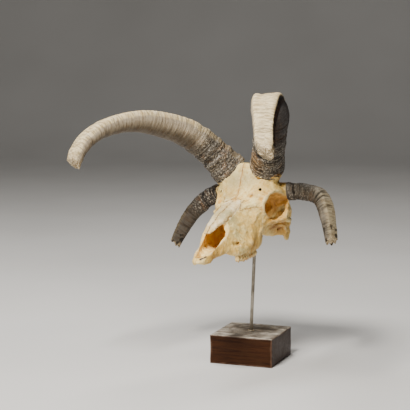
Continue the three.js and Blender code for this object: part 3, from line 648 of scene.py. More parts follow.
def wavy_half_space(point, normal):
    """All that lies behind a suture: a sheet with small waves, run back a long way."""
    size, wave = 300, 0.5
    turn = Vector((0, 0, 1)).rotation_difference(Vector(normal)).to_matrix().to_4x4()
    bm = bmesh.new()
    bmesh.ops.create_grid(bm, x_segments=140, y_segments=140, size=size / 2)
    for vert in bm.verts:
        a, b = vert.co.x, vert.co.y
        vert.co.z = wave * (math.sin(a * 0.5 + b * 0.31) + 0.6 * math.sin(a * 1.1 - b * 0.9))
    draw_out(bm, (0, 0, -size), triangles=False)
    bmesh.ops.transform(bm, verts=bm.verts, matrix=Matrix.Translation(point) @ turn)
    return object_from(bm, "half_space")


def face_region(side, grow=0.0):
    """What lies in front of the suture between forehead and face, on one side."""
    a, b, c = (Vector((side * px, py, pz)) for px, py, pz in
               ((16.3, -116, 63), (40, -87, 67), (12, -93, 10)))
    normal = (b - a).cross(c - a).normalized()
    if normal.y < 0:
        normal.negate()
    behind = wavy_half_space(a + normal * grow, normal)
    size = 600
    bm = bmesh.new()
    bmesh.ops.create_cube(bm, size=size, matrix=Matrix.Translation(
        (side * (size / 2 + SUTURE_GAP / 2 - grow), 0, 0)))
    return carve(behind, object_from(bm, "half"), "INTERSECT")


def front_jaw_region(grow=0.0):
    """What lies in front of the suture between the upper jaw and the front jaw."""
    normal = Vector((0, 0.8, -0.6))
    return wavy_half_space(Vector((0, -194, 5)) + normal * grow, normal)


def parted(head):
    """The head's bones, each cut free along its sutures."""
    bones = {}
    for name, side in SIDES:
        for kind, region in (("nasal", nasal_region), ("cheekbone", cheekbone_region)):
            bone_name = f"{kind}_{name}"
            bones[bone_name] = carve(copy_of(head, bone_name), region(side), "INTERSECT")
    for _, side in SIDES:
        for region in (nasal_region, cheekbone_region):
            carve(head, region(side, SUTURE_GAP))
    for name, side in SIDES:
        face = carve(copy_of(head, f"upper_jaw_{name}"), face_region(side), "INTERSECT")
        front = copy_of(face, f"front_jaw_{name}")
        bones[f"front_jaw_{name}"] = carve(front, front_jaw_region(), "INTERSECT")
        bones[f"upper_jaw_{name}"] = carve(face, front_jaw_region(SUTURE_GAP))
    for _, side in SIDES:
        carve(head, face_region(side, SUTURE_GAP))
    head.name = "cranium"
    bones["cranium"] = head
    return bones


# ---------- colours spread over the bone ----------

def give(mesh, name, values):
    """Writes one value per point, for the materials to read."""
    layer = mesh.attributes.new(name, "FLOAT", "POINT")
    layer.data.foreach_set("value", np.asarray(values, np.float32))


# Washes of colour: strength, middle and reach. Old yellow grease, on both sides and on one.
OCHRE = ((0.35, (36, -105, 30), 44), (1.0, (48, -66, 38), 20), (0.9, (52, -42, 62), 20),
         (0.8, (44, -80, 46), 16), (0.8, (27, -157, 21), 7), (0.8, (52, -36, 84), 17),
         (0.6, (33, -128, 12), 24), (0.8, (32, -20, 26), 34), (0.7, (50, -60, 40), 22),
         (0.45, (12, -205, 8), 22))
OCHRE_HERE = ((0.6, (0, -200, 16), 52), (0.7, (2, -99, 78), 13), (0.9, (23.5, -92, 82), 7))
# Bleached greyish bone on the forehead and the nose; on the forehead, which faces the lamps, the grey
# is deepened as painted shade.
COOL = ((0.9, (-10, -76, 104), 30), (0.7, (16, -72, 106), 28), (0.6, (-14, -96, 82), 18),
        (1.6, (9, -148, 60), 24), (0.5, (-8, -130, 64), 22))
# Dirt and painted shade in the ear's hollows and behind the cheek arch.
EAR_DIRT_AND_SHADE = ((1.0, (42, -19, 41), 8), (0.9, (30, -40, 29), 15), (1.0, (32, -24, 24.5), 8),
            (1.0, (46, -27, 56), 11))


def stain_and_shade(piece, skin):
    """Writes what the bone materials read: depth inside, hollows, sutures, washes of colour, for
    stains, dirt and painted shade.
    """
    mesh = piece.data
    points = points_of(mesh)
    one_side = both_sides(points)
    x, y, z = points.T
    # the eye socket: an orange stain, with painted shade growing further in
    out, radius = eye_place(one_side, True)
    in_eye = (1 - ramp(radius, 21, 27)) * (1 - ramp(out, -3, 4))
    give(mesh, "eye_stain_and_shade", in_eye * ramp(-out, -5, 9))

    # the nose's hollow: an orange stain, painted bright as a glow of light through thin bone
    depth = np.array([skin.find_nearest(point)[3] for point in points.tolist()])
    nose_top, nose_half = (np.interp(y, NOSE_SECTIONS[:, 0], NOSE_SECTIONS[:, at]) for at in (1, 4))
    in_nose = (ramp(depth, 1.4, 3.5) * (y < -98) * ramp(z, 8, 10)
               * (z < nose_top + 2) * (np.abs(x) < nose_half + 1.5))
    in_nose = in_nose * (0.15 + 0.85 * ramp(y, -222, -196))
    give(mesh, "nose_stain_and_glow", neighbour_mean(mesh, in_nose, 3)[:, 0])

    # hollowness: dirt and painted shade in hollows, rubbing and a painted highlight on ridges; less
    # of both round the left upper horn's base, more shade along the furrow above the right nasal bone
    rubbed = 1 - 0.85 * bump(points, (50, -58, 100), 18)
    over_nasal = 0.6 * near_line(points, OVER_NASAL, 0.8, 4)
    give(mesh, "hollow", (hollowness(mesh, 8) + over_nasal) * rubbed)
    give(mesh, "fine_hollow", hollowness(mesh, 2) * rubbed)
    near = suture_distance(points)
    give(mesh, "suture", 1 - ramp(near, 0.4, 1.2))
    give(mesh, "suture_halo", 1 - ramp(near, 1, 5))
    give(mesh, "ochre", np.clip(spots(one_side, OCHRE) + spots(points, OCHRE_HERE), 0, 1))
    give(mesh, "cool", np.clip(spots(points, COOL), 0, 1))
    in_ear = [most * bump(one_side, *spot) for most, *spot in EAR_DIRT_AND_SHADE]
    give(mesh, "ear_dirt_and_shade", np.max(in_ear, axis=0))

    # holes above the eye, a smaller one beside them, the one below the eye, the front jaw's slit:
    # painted shade in and round them; the smaller one has no hole cut, only paint
    pits = (near_line(one_side, ((20, -55, 86.4), (29, -73.6, 87.9), (34, -84, 88.7)), 1.6, 2.8),
            0.8 * bump(points, (24.6, -92, 82.2), 2.6),
            0.55 * near_line(one_side, ((26, -165, 22), (33.5, -155, 21)), 0.6, 3.4),
            near_line(points, ((5.8, -227.6, 9.6), (10.3, -221.1, 12.6)), 1.3, 2.6))
    give(mesh, "pit", np.max(pits, axis=0))


# ---------- materials ----------

def colour(code):
    """A linear colour from an sRGB hex value."""
    parts = [int(code[at:at + 2], 16) / 255 for at in (1, 3, 5)]
    return (*[c / 12.92 if c <= 0.04045 else ((c + 0.055) / 1.055) ** 2.4 for c in parts], 1.0)


def new_material(name):
    """An empty material, with its tree and the place on the object in metres."""
    material = bpy.data.materials.new(name)
    material.use_nodes = True
    tree = material.node_tree
    tree.nodes.clear()
    return material, tree, add(tree, "ShaderNodeTexCoord").outputs["Object"]


def add(tree, kind, settings=None, **inputs):
    """Adds one node. Settings are its own; inputs are values or the sockets that feed it."""
    node = tree.nodes.new(kind)
    for key, value in (settings or {}).items():
        setattr(node, key, value)
    for key, value in inputs.items():
        by_number = key[0] == "i" and key[1:].isdigit()
        socket = node.inputs[int(key[1:]) if by_number else key.replace("_", " ")]
        if isinstance(value, bpy.types.NodeSocket):
            tree.links.new(value, socket)
        else:
            socket.default_value = value
    return node


def coated(tree, skin, coats):
    """Lays coats of colour over one another, each where something on the piece says so.

    A coat is: what it follows, the values of that between which it comes in, how strong it gets,
    its colour, and then what breaks it up, if anything does.
    """
    def paint(tint):
        return colour(tint) if isinstance(tint, str) else tint

    for follows, low, high, most, tint, *broken_by in coats:
        cover = add(tree, "ShaderNodeMapRange", i0=follows, i1=low, i2=high, i4=most).outputs[0]
        for speckle in broken_by:
            part = add(tree, "ShaderNodeMapRange", i0=speckle, i1=0.38, i2=0.6, i3=0.2).outputs[0]
            cover = add(tree, "ShaderNodeMath", {"operation": "MULTIPLY"}, i0=cover,
                        i1=part).outputs[0]
        skin = add(tree, "ShaderNodeMix", {"data_type": "RGBA"}, i0=cover, i6=paint(skin),
                   i7=paint(tint)).outputs[2]
    return skin


def finish_material(tree, skin, roughness, heights, **own):
    """Ends a material: its colour, roughness and reliefs.

    Roughness is what it follows, between which values, and from what to what it then goes. Each
    relief is a height and its size in millimetres.
    """
    follows, low, high, least, most = roughness
    dull = add(tree, "ShaderNodeMapRange", i0=follows, i1=low, i2=high, i3=least, i4=most)
    normal = None
    for height, size in heights:
        below = {"Normal": normal} if normal else {}
        normal = add(tree, "ShaderNodeBump", Height=height, Distance=size * MM, **below).outputs[0]
    shader = add(tree, "ShaderNodeBsdfPrincipled", Base_Color=skin, Roughness=dull.outputs[0],
                 Normal=normal, **own)
    add(tree, "ShaderNodeOutputMaterial", Surface=shader.outputs[0])


def dry_bone(name, pale, body, warm):
    """Dry bone, boiled clean and handled for years: ivory, matt to silky.

    Old grease left clouds of a few centimetres and yellow patches of a few millimetres. Hollows hold
    dirt and painted shade, sutures dirt, ridges are rubbed pale and carry a painted highlight, and
    fine pores pit the surface.
    """
    material, tree, where = new_material(name)
    clouds, patches, mottle, grain = [
        add(tree, "ShaderNodeTexNoise", Vector=where, Scale=1000 / size, Detail=4.0, Roughness=0.6,
            Distortion=0.3).outputs[0] for size in (24, 8.5, 3.4, 1.3)]
    marks = {mark: add(tree, "ShaderNodeAttribute", {"attribute_name": mark}).outputs["Fac"]
             for mark in ("cool", "ochre", "suture", "suture_halo", "hollow", "fine_hollow",
                          "nose_stain_and_glow", "eye_stain_and_shade", "ear_dirt_and_shade", "pit")}
    # inside the nose: orange stain made bright as painted light, a glow as through thin bone
    nose = coated(tree, "#FFE49A", ((patches, 0.42, 0.6, 0.9, "#F2BC5C"),))
    # inside the eye socket: orange stain, and painted shade stronger further in
    eye = coated(tree, "#EDB858", ((patches, 0.4, 0.6, 0.9, "#BE8532"),))
    skin = coated(tree, body, (
        (clouds, 0.4, 0.6, 1.0, pale),
        (patches, 0.48, 0.66, 0.6, warm),
        (mottle, 0.52, 0.7, 0.35, "#CBB06A"),
        (mottle, 0.46, 0.3, 0.5, "#F6E5B4"),
        # bleached grey, deepened as painted shade on the forehead
        (marks["cool"], 0, 1, 0.85, "#A99C6E"),
        (marks["ochre"], 0, 0.5, 0.75, "#E6B556"),
        (marks["ochre"], 0.3, 1, 0.95, "#C98F2C", patches),
        (marks["suture_halo"], 0, 1, 0.75, "#B58F4A", mottle),
        # painted shade in the hollows, with some dirt, and a painted highlight on the ridges
        (marks["hollow"], 0.05, 0.6, 0.85, "#A3711F"),
        (marks["fine_hollow"], 0.015, 0.12, 0.65, "#A5742C"),
        (marks["hollow"], -0.06, -0.5, 0.65, "#F3E0B0"),
        (marks["suture"], 0, 0.9, 0.9, "#6B4718", mottle),
        (marks["nose_stain_and_glow"], 0, 1, 1.0, nose),
        (marks["eye_stain_and_shade"], 0, 1, 1.0, eye),
        # dirt and painted shade in the ear's hollows and behind the arch
        (marks["ear_dirt_and_shade"], 0, 0.8, 0.95, "#865019", patches),
        # painted shade in and round the holes
        (marks["pit"], 0, 1, 1.0, "#3A2410"),
        (grain, 0.6, 0.76, 0.35, "#B08C46"),
    ))
    finish_material(tree, skin, (patches, 0.3, 0.7, 0.4, 0.62), ((mottle, 1.1), (grain, 0.35)),
                    IOR=1.5)
    return material


def keratin(name, dark, mid, bright):
    """Weathered horn: the dead keratin sheath, grown in wrinkles that cross it.

    Its outer face is bleached cream, its inner face dark and greasy and darker still as painted
    shade, its base nearly black between the wrinkles, with rust-coloured dirt, and the wrinkles'
    grooves hold painted shade. The real growth lines are about 1 mm apart: they are drawn 3 mm apart,
    so that they show. Lengthwise fibres split the surface where it has dried.
    """
    material, tree, _ = new_material(name)
    where = add(tree, "ShaderNodeUVMap", {"uv_map": "wrap"}).outputs[0]
    crossing = add(tree, "ShaderNodeMapping", Vector=where, Scale=(0.14, 1.0, 1.0)).outputs[0]
    lengthwise = add(tree, "ShaderNodeMapping", Vector=where, Scale=(1.0, 0.09, 1.0)).outputs[0]
    lines, bands, blotch, speck, fibre = [
        add(tree, "ShaderNodeTexNoise", Vector=way, Scale=1000 / size, Detail=4.0, Roughness=0.66,
            Distortion=bend).outputs[0]
        for way, size, bend in ((crossing, 3.0, 0.2), (crossing, 11, 0.4), (where, 15, 0.5),
                                (where, 2.4, 0.3), (lengthwise, 2.2, 0.0))]
    marks = {mark: add(tree, "ShaderNodeAttribute", {"attribute_name": mark}).outputs["Fac"]
             for mark in ("outer_face", "inner_face_and_shade", "base_dark", "tan", "broken", "groove", "old")}
    rough_old = add(tree, "ShaderNodeMath", {"operation": "MULTIPLY"}, i0=marks["old"],
                    i1=speck).outputs[0]
    outer = coated(tree, "#E0CDA2", (
        (lines, 0.44, 0.58, 0.85, "#94815F"),
        (blotch, 0.5, 0.66, 0.6, "#C2A678"),
        (rough_old, 0.28, 0.46, 0.9, "#6E5E48"),
        (bands, 0.42, 0.3, 0.6, "#F2E6CC"),
        (fibre, 0.54, 0.66, 0.45, "#B79A6C"),
    ))
    # dark keratin of the inner face, made darker still as painted shade
    inner = coated(tree, "#120702", (
        (lines, 0.5, 0.7, 0.8, "#452C14"),
        (blotch, 0.52, 0.68, 0.5, "#3A2410"),
    ))
    base = coated(tree, "#4A443D", (
        (bands, 0.46, 0.62, 0.8, "#86827C", lines),
        (blotch, 0.54, 0.62, 0.7, "#94683C", speck),
        (speck, 0.53, 0.6, 0.95, "#CBC2B0", lines),
        (speck, 0.46, 0.38, 0.9, "#17120E"),
        (lines, 0.46, 0.38, 0.9, "#17120E"),
    ))
    end = coated(tree, "#8B7048", ((speck, 0.42, 0.6, 0.95, "#E6D6B4"),))
    skin = coated(tree, mid, (
        (lines, 0.44, 0.6, 0.6, dark),
        (bands, 0.5, 0.68, 0.5, bright, lines),
        (blotch, 0.5, 0.66, 0.55, "#7A6248", lines),
        (rough_old, 0.42, 0.62, 0.8, bright),
        (fibre, 0.6, 0.76, 0.4, "#DCCFB6"),
        (marks["outer_face"], 0, 1, 1.0, outer),
        # the inner face's dark keratin and painted shade
        (marks["inner_face_and_shade"], 0, 1, 1.0, inner),
        (marks["base_dark"], 0, 0.7, 0.92, base),
        (marks["tan"], 0, 1, 0.85, "#A97F48", lines),
        (marks["broken"], 0, 1, 1.0, end),
        # painted shade in the grooves
        (marks["groove"], 0.1, 0.8, 0.85, "#1F1811"),
    ))
    finish_material(tree, skin, (speck, 0.35, 0.65, 0.72, 0.42),
                    ((lines, 1.0), (rough_old, 2.2), (fibre, 0.3)), IOR=1.54, Specular_IOR_Level=0.2)
    return material


def tooth_enamel():
    """Tooth enamel: smooth and glossy, cream, with brown scale and painted shade between its ribs and
    in its pits.
    """
    material, tree, where = new_material("tooth_enamel")
    clouds, wear = [
        add(tree, "ShaderNodeTexNoise", Vector=where, Scale=1000 / size, Detail=3.0).outputs[0]
        for size in (4.5, 1.0)]
    scale_and_shade = add(tree, "ShaderNodeAttribute", {"attribute_name": "hollow"}).outputs["Fac"]
    skin = coated(tree, "#E6CB88", (
        (clouds, 0.42, 0.6, 0.8, "#C48F3C"),
        # brown scale and painted shade in the hollows
        (scale_and_shade, 0.06, 0.45, 0.8, "#7C5220"),
    ))
    finish_material(tree, skin, (clouds, 0.3, 0.7, 0.22, 0.4), ((wear, 0.1),), IOR=1.62)
    return material


def drawn_steel():
    """Drawn steel rod, dulled by handling: fine lines along it and a warm grey film."""
    material, tree, where = new_material("drawn_steel")
    upright = add(tree, "ShaderNodeMapping", Vector=where, Scale=(1.0, 1.0, 0.02)).outputs[0]
    drawn, film = [
        add(tree, "ShaderNodeTexNoise", Vector=way, Scale=1000 / size, Detail=3.0).outputs[0]
        for way, size in ((upright, 0.6), (where, 12))]
    skin = coated(tree, "#9A9386", (
        (film, 0.4, 0.64, 0.9, "#7C7466"),
        (drawn, 0.5, 0.7, 0.4, "#6B6357"),
    ))
    finish_material(tree, skin, (film, 0.35, 0.7, 0.22, 0.42), ((drawn, 0.06),), Metallic=1.0)
    return material


def stained_wood():
    """Hardwood, stained dark red-brown and polished long ago: grain along it, rubbed pale edges.

    Its top has dried out: whitish streaks of old wax and dust lie along the grain.
    """
    material, tree, where = new_material("stained_hardwood")
    along = add(tree, "ShaderNodeMapping", Vector=where, Scale=(0.06, 1.0, 1.0)).outputs[0]
    grain, streaks, pores, cloud = [
        add(tree, "ShaderNodeTexNoise", Vector=way, Scale=1000 / size, Detail=5.0, Roughness=0.65,
            Distortion=0.6).outputs[0]
        for way, size in ((along, 2.6), (along, 5.5), (along, 1.0), (where, 20))]
    edge, top = [add(tree, "ShaderNodeAttribute", {"attribute_name": mark}).outputs["Fac"]
                 for mark in ("edge", "top")]
    skin = coated(tree, "#2B170C", (
        (grain, 0.38, 0.62, 0.75, "#452814"),
        (cloud, 0.45, 0.65, 0.6, "#3A2414"),
        (pores, 0.56, 0.68, 0.6, "#170B06"),
        (edge, 0, 1, 0.8, "#7E6250", cloud),
        (top, 0, 1, 0.7, "#85765F", cloud),
        (top, 0, 1, 1.0, "#FFF6E6", streaks, cloud),
        (top, 0, 1, 0.7, "#2A2018", pores, pores),
    ))
    finish_material(tree, skin, (cloud, 0.3, 0.7, 0.3, 0.5), ((grain, 0.25), (pores, 0.2)),
                    IOR=1.5, Specular_IOR_Level=0.1)
    return material


def old_plaster():
    """A blob of old plaster and glue: off-white, chalky, lumpy."""
    material, tree, where = new_material("old_plaster")
    lumps = add(tree, "ShaderNodeTexNoise", Vector=where, Scale=1000 / 2.2, Detail=4.0).outputs[0]
    skin = coated(tree, "#CFC2A6", ((lumps, 0.35, 0.65, 1.0, "#EDE4CF"),))
    finish_material(tree, skin, (lumps, 0.3, 0.7, 0.6, 0.85), ((lumps, 0.3),))
    return material


def painted_board():
    """Seamless backdrop board, painted pale and matt."""
    material, tree, where = new_material("painted_board")
    tone = add(tree, "ShaderNodeTexNoise", Vector=where, Scale=1000 / 500, Detail=2.0).outputs[0]
    skin = coated(tree, "#C9C7C4", ((tone, 0.3, 0.7, 1.0, "#D2D0CD"),))
    finish_material(tree, skin, (tone, 0, 1, 0.8, 0.9), ((tone, 0.01),))
    return material


# ---------- horns ----------

# A horn's route in the skull, its width and depth by the share of its length, and its relief in
# millimetres. Steps are where old growth stands out over the young: a share, and how high.
UPPER_HORN = {
    "route": ((31, -50, 114.7), (57.7, -82.1, 168.7), (86, -136.8, 194), (111.4, -208.3, 208),
              (139.3, -272, 185.1), (143.9, -286, 152.8)),
    "left_differs": ((0.2, 0.3, 1.4), (-0.7, -0.4, -1.5), (2.2, 1.1, 13), (-0.1, 0, 10.4),
                     (-1.9, -1.3, -11.7), (-1, 0.2, -2.5)),
    "coil_centre": (85, -170, 90),
    "width": ((0, 51), (0.04, 50), (0.08, 48), (0.35, 47), (0.55, 40), (0.75, 33), (0.9, 28),
              (1, 26)),
    "depth": ((0, 50), (0.04, 48), (0.08, 44), (0.35, 36.5), (0.55, 31), (0.85, 22.5), (1, 18.5)),
    "rings": 430,
    "around": 96,
    "seed": 50,
    "rough_base": (0.1, 0.4),
    "swell": 1.3,
    "knobs": 1.1,
    "steps": ((0.04, 1.6), (0.1, 2.6), (0.165, 2.2), (0.24, 1.6), (0.33, 1.2)),
    "keel": {LEFT: 1.3, RIGHT: 0.7},
    "trough": 1.1,
    "chips": 0.9,
    "tip_slant": 8,
    "tip_push": 2.6,
}
LOWER_HORN = {
    "route": ((57.1, -34.6, 83.2), (81, -34.2, 75.5), (89.4, -37.8, 62.4), (106.6, -41.4, 54.4),
              (126.2, -58.9, 11.4)),
    "left_differs": ((-0.6, -0.5, -3.1), (0.7, 0.5, 4.2), (6.5, -0.1, 12), (8.5, 1, 15),
                     (-0.1, -0.5, -2.9)),
    "coil_centre": (70, -45, 5),
    "width": ((0, 27), (0.1, 25.5), (0.4, 24.5), (0.65, 22.5), (0.85, 19.5), (1, 17)),
    "depth": ((0, 27), (0.1, 25.5), (0.4, 24.5), (0.65, 22), (0.85, 18.5), (1, 16)),
    "rings": 200,
    "around": 72,
    "seed": 0,
    "rough_base": (0.15, 0.8),
    "swell": 0.8,
    "knobs": 0.6,
    "steps": (),
    "keel": {LEFT: 0.5, RIGHT: 0.5},
    "trough": 0.2,
    "chips": 4.2,
    "tip_slant": 1,
    "tip_push": -1.5,
}
# Outward and sideways: a flat outer face with a keel on each side of it, narrower within.
HORN_SECTION = ((0.475, 0), (0.465, 0.2), (0.44, 0.36), (0.34, 0.455), (0.1, 0.5), (-0.12, 0.465),
                (-0.34, 0.33), (-0.46, 0.16), (-0.5, 0))


def spline_points(controls, count):
    """Points evenly spaced along a clamped cubic spline, with their distances along it."""
    controls = np.array(controls, float)
    spans = len(controls) - 3
    knots = np.concatenate(([0, 0, 0], np.linspace(0, 1, spans + 1), [1, 1, 1]))
    t = np.linspace(0, 1 - 1e-9, 1200)
    basis = np.array([(knots[i] <= t) & (t < knots[i + 1]) for i in range(len(knots) - 1)], float)
    for degree in (1, 2, 3):
        raised = np.zeros((len(basis) - 1, len(t)))
        for i in range(len(basis) - 1):
            left, right = knots[i + degree] - knots[i], knots[i + degree + 1] - knots[i + 1]
            if left > 0:
                raised[i] += (t - knots[i]) / left * basis[i]
            if right > 0:
                raised[i] += (knots[i + degree + 1] - t) / right * basis[i + 1]
        basis = raised
    dense = basis.T @ controls
    run = np.concatenate(([0], np.cumsum(np.linalg.norm(np.diff(dense, axis=0), axis=1))))
    even = np.linspace(0, run[-1], count)
    return np.column_stack([np.interp(even, run, dense[:, axis]) for axis in range(3)]), even


def unit(vectors):
    return vectors / np.linalg.norm(vectors, axis=1)[:, None]


class HornPath:
    """Where a horn runs: its middle line with the directions on and across it."""

    def __init__(self, side, spec):
        route = np.array(spec["route"], float)
        if side == LEFT:
            route = route + spec["left_differs"]
        flip = np.array((side, 1, 1))
        self.middles, self.run = spline_points(route * flip, 600)
        self.along = unit(np.gradient(self.middles, axis=0))
        outward = self.middles - np.array(spec["coil_centre"]) * flip
        self.outward = unit(outward - np.sum(outward * self.along, axis=1)[:, None] * self.along)
        self.sideways = np.cross(self.along, self.outward)
        self.length = self.run[-1]

    def at(self, mm):
        fields = [np.column_stack([np.interp(mm, self.run, field[:, k]) for k in range(3)])
                  for field in (self.middles, self.along, self.outward, self.sideways)]
        return fields[0], unit(fields[1]), unit(fields[2]), unit(fields[3])


def horn_profile(around):
    """The section as a smooth closed curve."""
    half = np.array(HORN_SECTION)
    return closed_curve(np.vstack((half, half[-2:0:-1] * (1, -1))), around)


def horn_room(side, spec, grow):
    """The plain room a horn takes up, to be cut out of the bone under it."""
    path = HornPath(side, spec)
    around, rows = 48, 60
    profile = horn_profile(around)

    def place(u, v):
        row = np.rint(v * (rows + 2)).astype(int)
        at = np.clip((row - 1) / rows, 0, 1)
        shape = profile[np.rint(u * around).astype(int) % around]
        middle, ahead, out, aside = path.at(at * path.length)
        depth, width = (np.interp(at, *np.array(spec[way]).T) + 2 * grow
                        for way in ("depth", "width"))
        open_ends = (row > 0) & (row < rows + 2)
        return (middle + out * (shape[:, 0] * depth * open_ends)[:, None]
                + aside * (shape[:, 1] * width * open_ends)[:, None] - ahead * grow)

    return sleeve(around, rows + 2, place)


def grown_horn(name, side, spec):
    """One horn sheath: a flat-faced section swept along its curve and wrinkled across."""
    path = HornPath(side, spec)
    length = path.length
    upper = spec is UPPER_HORN
    twisted = upper and side == LEFT
    around, rings = spec["around"], spec["rings"]
    base_rows, tip_rows = 5, 12
    rows = base_rows + rings + tip_rows
    profile = horn_profile(around)
    seed = 17.0 * (side + 2) + spec["seed"]
    facts = {}

    def place(u, v):
        row = np.rint(v * rows).astype(int)
        spoke = np.rint(u * around).astype(int) % around
        at = np.clip((row - base_rows) / rings, 0, 1)
        past = np.clip((row - base_rows - rings) / tip_rows, 0, 1)
        before = np.clip((base_rows - row) / base_rows, 0, 1)
        mm = at * length
        middle, ahead, out, aside = path.at(mm)
        shape = profile[spoke]
        depth, width = (np.interp(at, *np.array(spec[way]).T) for way in ("depth", "width"))
        if twisted:
            lean = 0.2 * ramp(shape[:, 0], 0.1, 0.34) * (shape[:, 1] < 0) * ramp(at, 0.1, 0.3)
            shape = shape * np.column_stack((np.ones(len(lean)), 1 - lean))
            width = width * (1 + 0.11 * ramp(at, 0.2, 0.4) * (1 - ramp(at, 0.7, 0.9)))
        # a place on a cylinder of the horn's own size, so that no seam shows
        angle = spoke / around * 2 * math.pi
        size = (depth + width) / 2
        spot = np.column_stack((np.cos(angle) * size / 2, np.sin(angle) * size / 2, mm)) + seed
        # growth wrinkles cross the horn, bent forward on its outer face
        sag = 3.0 * shape[:, 0] + 1.6 * roughness_at(spot, (16, 16, 30))
        swell, coarse, fine = (
            roughness_at(spot * (flat, flat, 1) + sag[:, None] * (0, 0, 1), grain)
            for flat, grain in ((0.15, (9, 9, 6.5)), (0.3, (9, 9, 2.9)), (0.4, (5, 5, 1.6))))
        knobs = roughness_at(spot, (3.2, 3.2, 2.0))
        near_base = 1 - ramp(at, *spec["rough_base"])
        rough = 0.4 + 0.6 * near_base
        grown = rough * (spec["swell"] * swell + 1.2 * coarse + 0.6 * fine)
        grown += near_base * spec["knobs"] * knobs
        for mark, rise in spec["steps"]:
            edge = (mm + sag - mark * length) / length
            grown -= rise * ramp(edge, -0.002, 0.004) * (1 - ramp(edge, 0.004, 0.06))
        grown = grown + 0.7 * roughness_at(spot, 24)
        # keels between the outer face and the sides, a shallow trough along each side face
        keel = np.exp(-((np.abs(shape[:, 1]) - 0.38) / 0.06) ** 2) * (shape[:, 0] > 0.3)
        trough = np.exp(-((shape[:, 0] + 0.1) / 0.22) ** 2) * (np.abs(shape[:, 1]) > 0.3)
        grown += spec["keel"][side] * keel - spec["trough"] * trough
        if twisted:
            crest = ramp(at, 0.3, 0.42) * (1 - ramp(at, 0.66, 0.8)) * ramp(shape[:, 0], 0.2, 0.4)
            grown += crest * (5.0 * np.exp(-((shape[:, 1] + 0.3) / 0.17) ** 2)
                              - 2.6 * np.exp(-((shape[:, 1] - 0.2) / 0.1) ** 2))
        grow_x = shape[:, 0] * (depth + grown)
        grow_y = shape[:, 1] * (width + grown)
        # the old tip: worn to a blunt blade above, broken off ragged below
        if upper:
            grow_y *= 1 - 0.2 * ramp(at, 0.965, 1.0)
        shrink = np.sqrt(np.clip(1 - past ** 2, 0, 1)) if upper else 1 - past ** 1.4
        shrink = shrink * (1 - before)
        chips = roughness_at(spot, (5, 5, 400)) + 0.8 * roughness_at(spot, (2.1, 2.1, 400))
        skew = (9.0 if twisted else 0.0) * shape[:, 1]
        slant = ((spec["chips"] * chips - skew - shape[:, 0] * spec["tip_slant"])
                 * ramp(at, 0.88, 1.0) * np.where(past > 0, shrink, 1))
        push = past * spec["tip_push"] + 1.1 * roughness_at(spot, 2.2) * (past > 0.1) * (past < 1)
        lip = -1.0 * ramp(before, 0, 0.3)
        flare = shrink * (1 + 0.03 * (1 - ramp(at, 0.0, 0.035)))
        surface = (middle + out * (grow_x * flare)[:, None] + aside * (grow_y * flare)[:, None]
                   + ahead * (slant + push + lip)[:, None])
        # how deep the wrinkles sink in, for painted shade in the grooves
        groove = ramp(-(coarse + 0.7 * fine + 0.4 * near_base * knobs), 0.2, 0.9) * rough
        facts.update(points=surface, at=at, shape=shape, past=past, groove=groove)
        return surface

    piece = object_from(sleeve(around, rows, place), name)
    mesh = piece.data
    tree = KDTree(len(facts["points"]))
    for index, point in enumerate(facts["points"].tolist()):
        tree.insert(point, index)
    tree.balance()
    match = np.array([tree.find(vert.co)[1] for vert in mesh.vertices])
    mark_horn(mesh, side, upper, *(facts[key][match] for key in ("at", "shape", "past", "groove")))
    # the wrap runs in metres, for patterns of real size
    layer = mesh.uv_layers["wrap"]
    flat = np.empty(len(mesh.loops) * 2, np.float32)
    layer.data.foreach_get("uv", flat)
    girth = math.pi * 0.4 * (spec["width"][0][1] + spec["depth"][0][1])
    flat = flat.reshape(-1, 2) * np.array((girth * MM, (length + 10) * MM), np.float32)
    layer.data.foreach_set("uv", flat.ravel())
    return piece


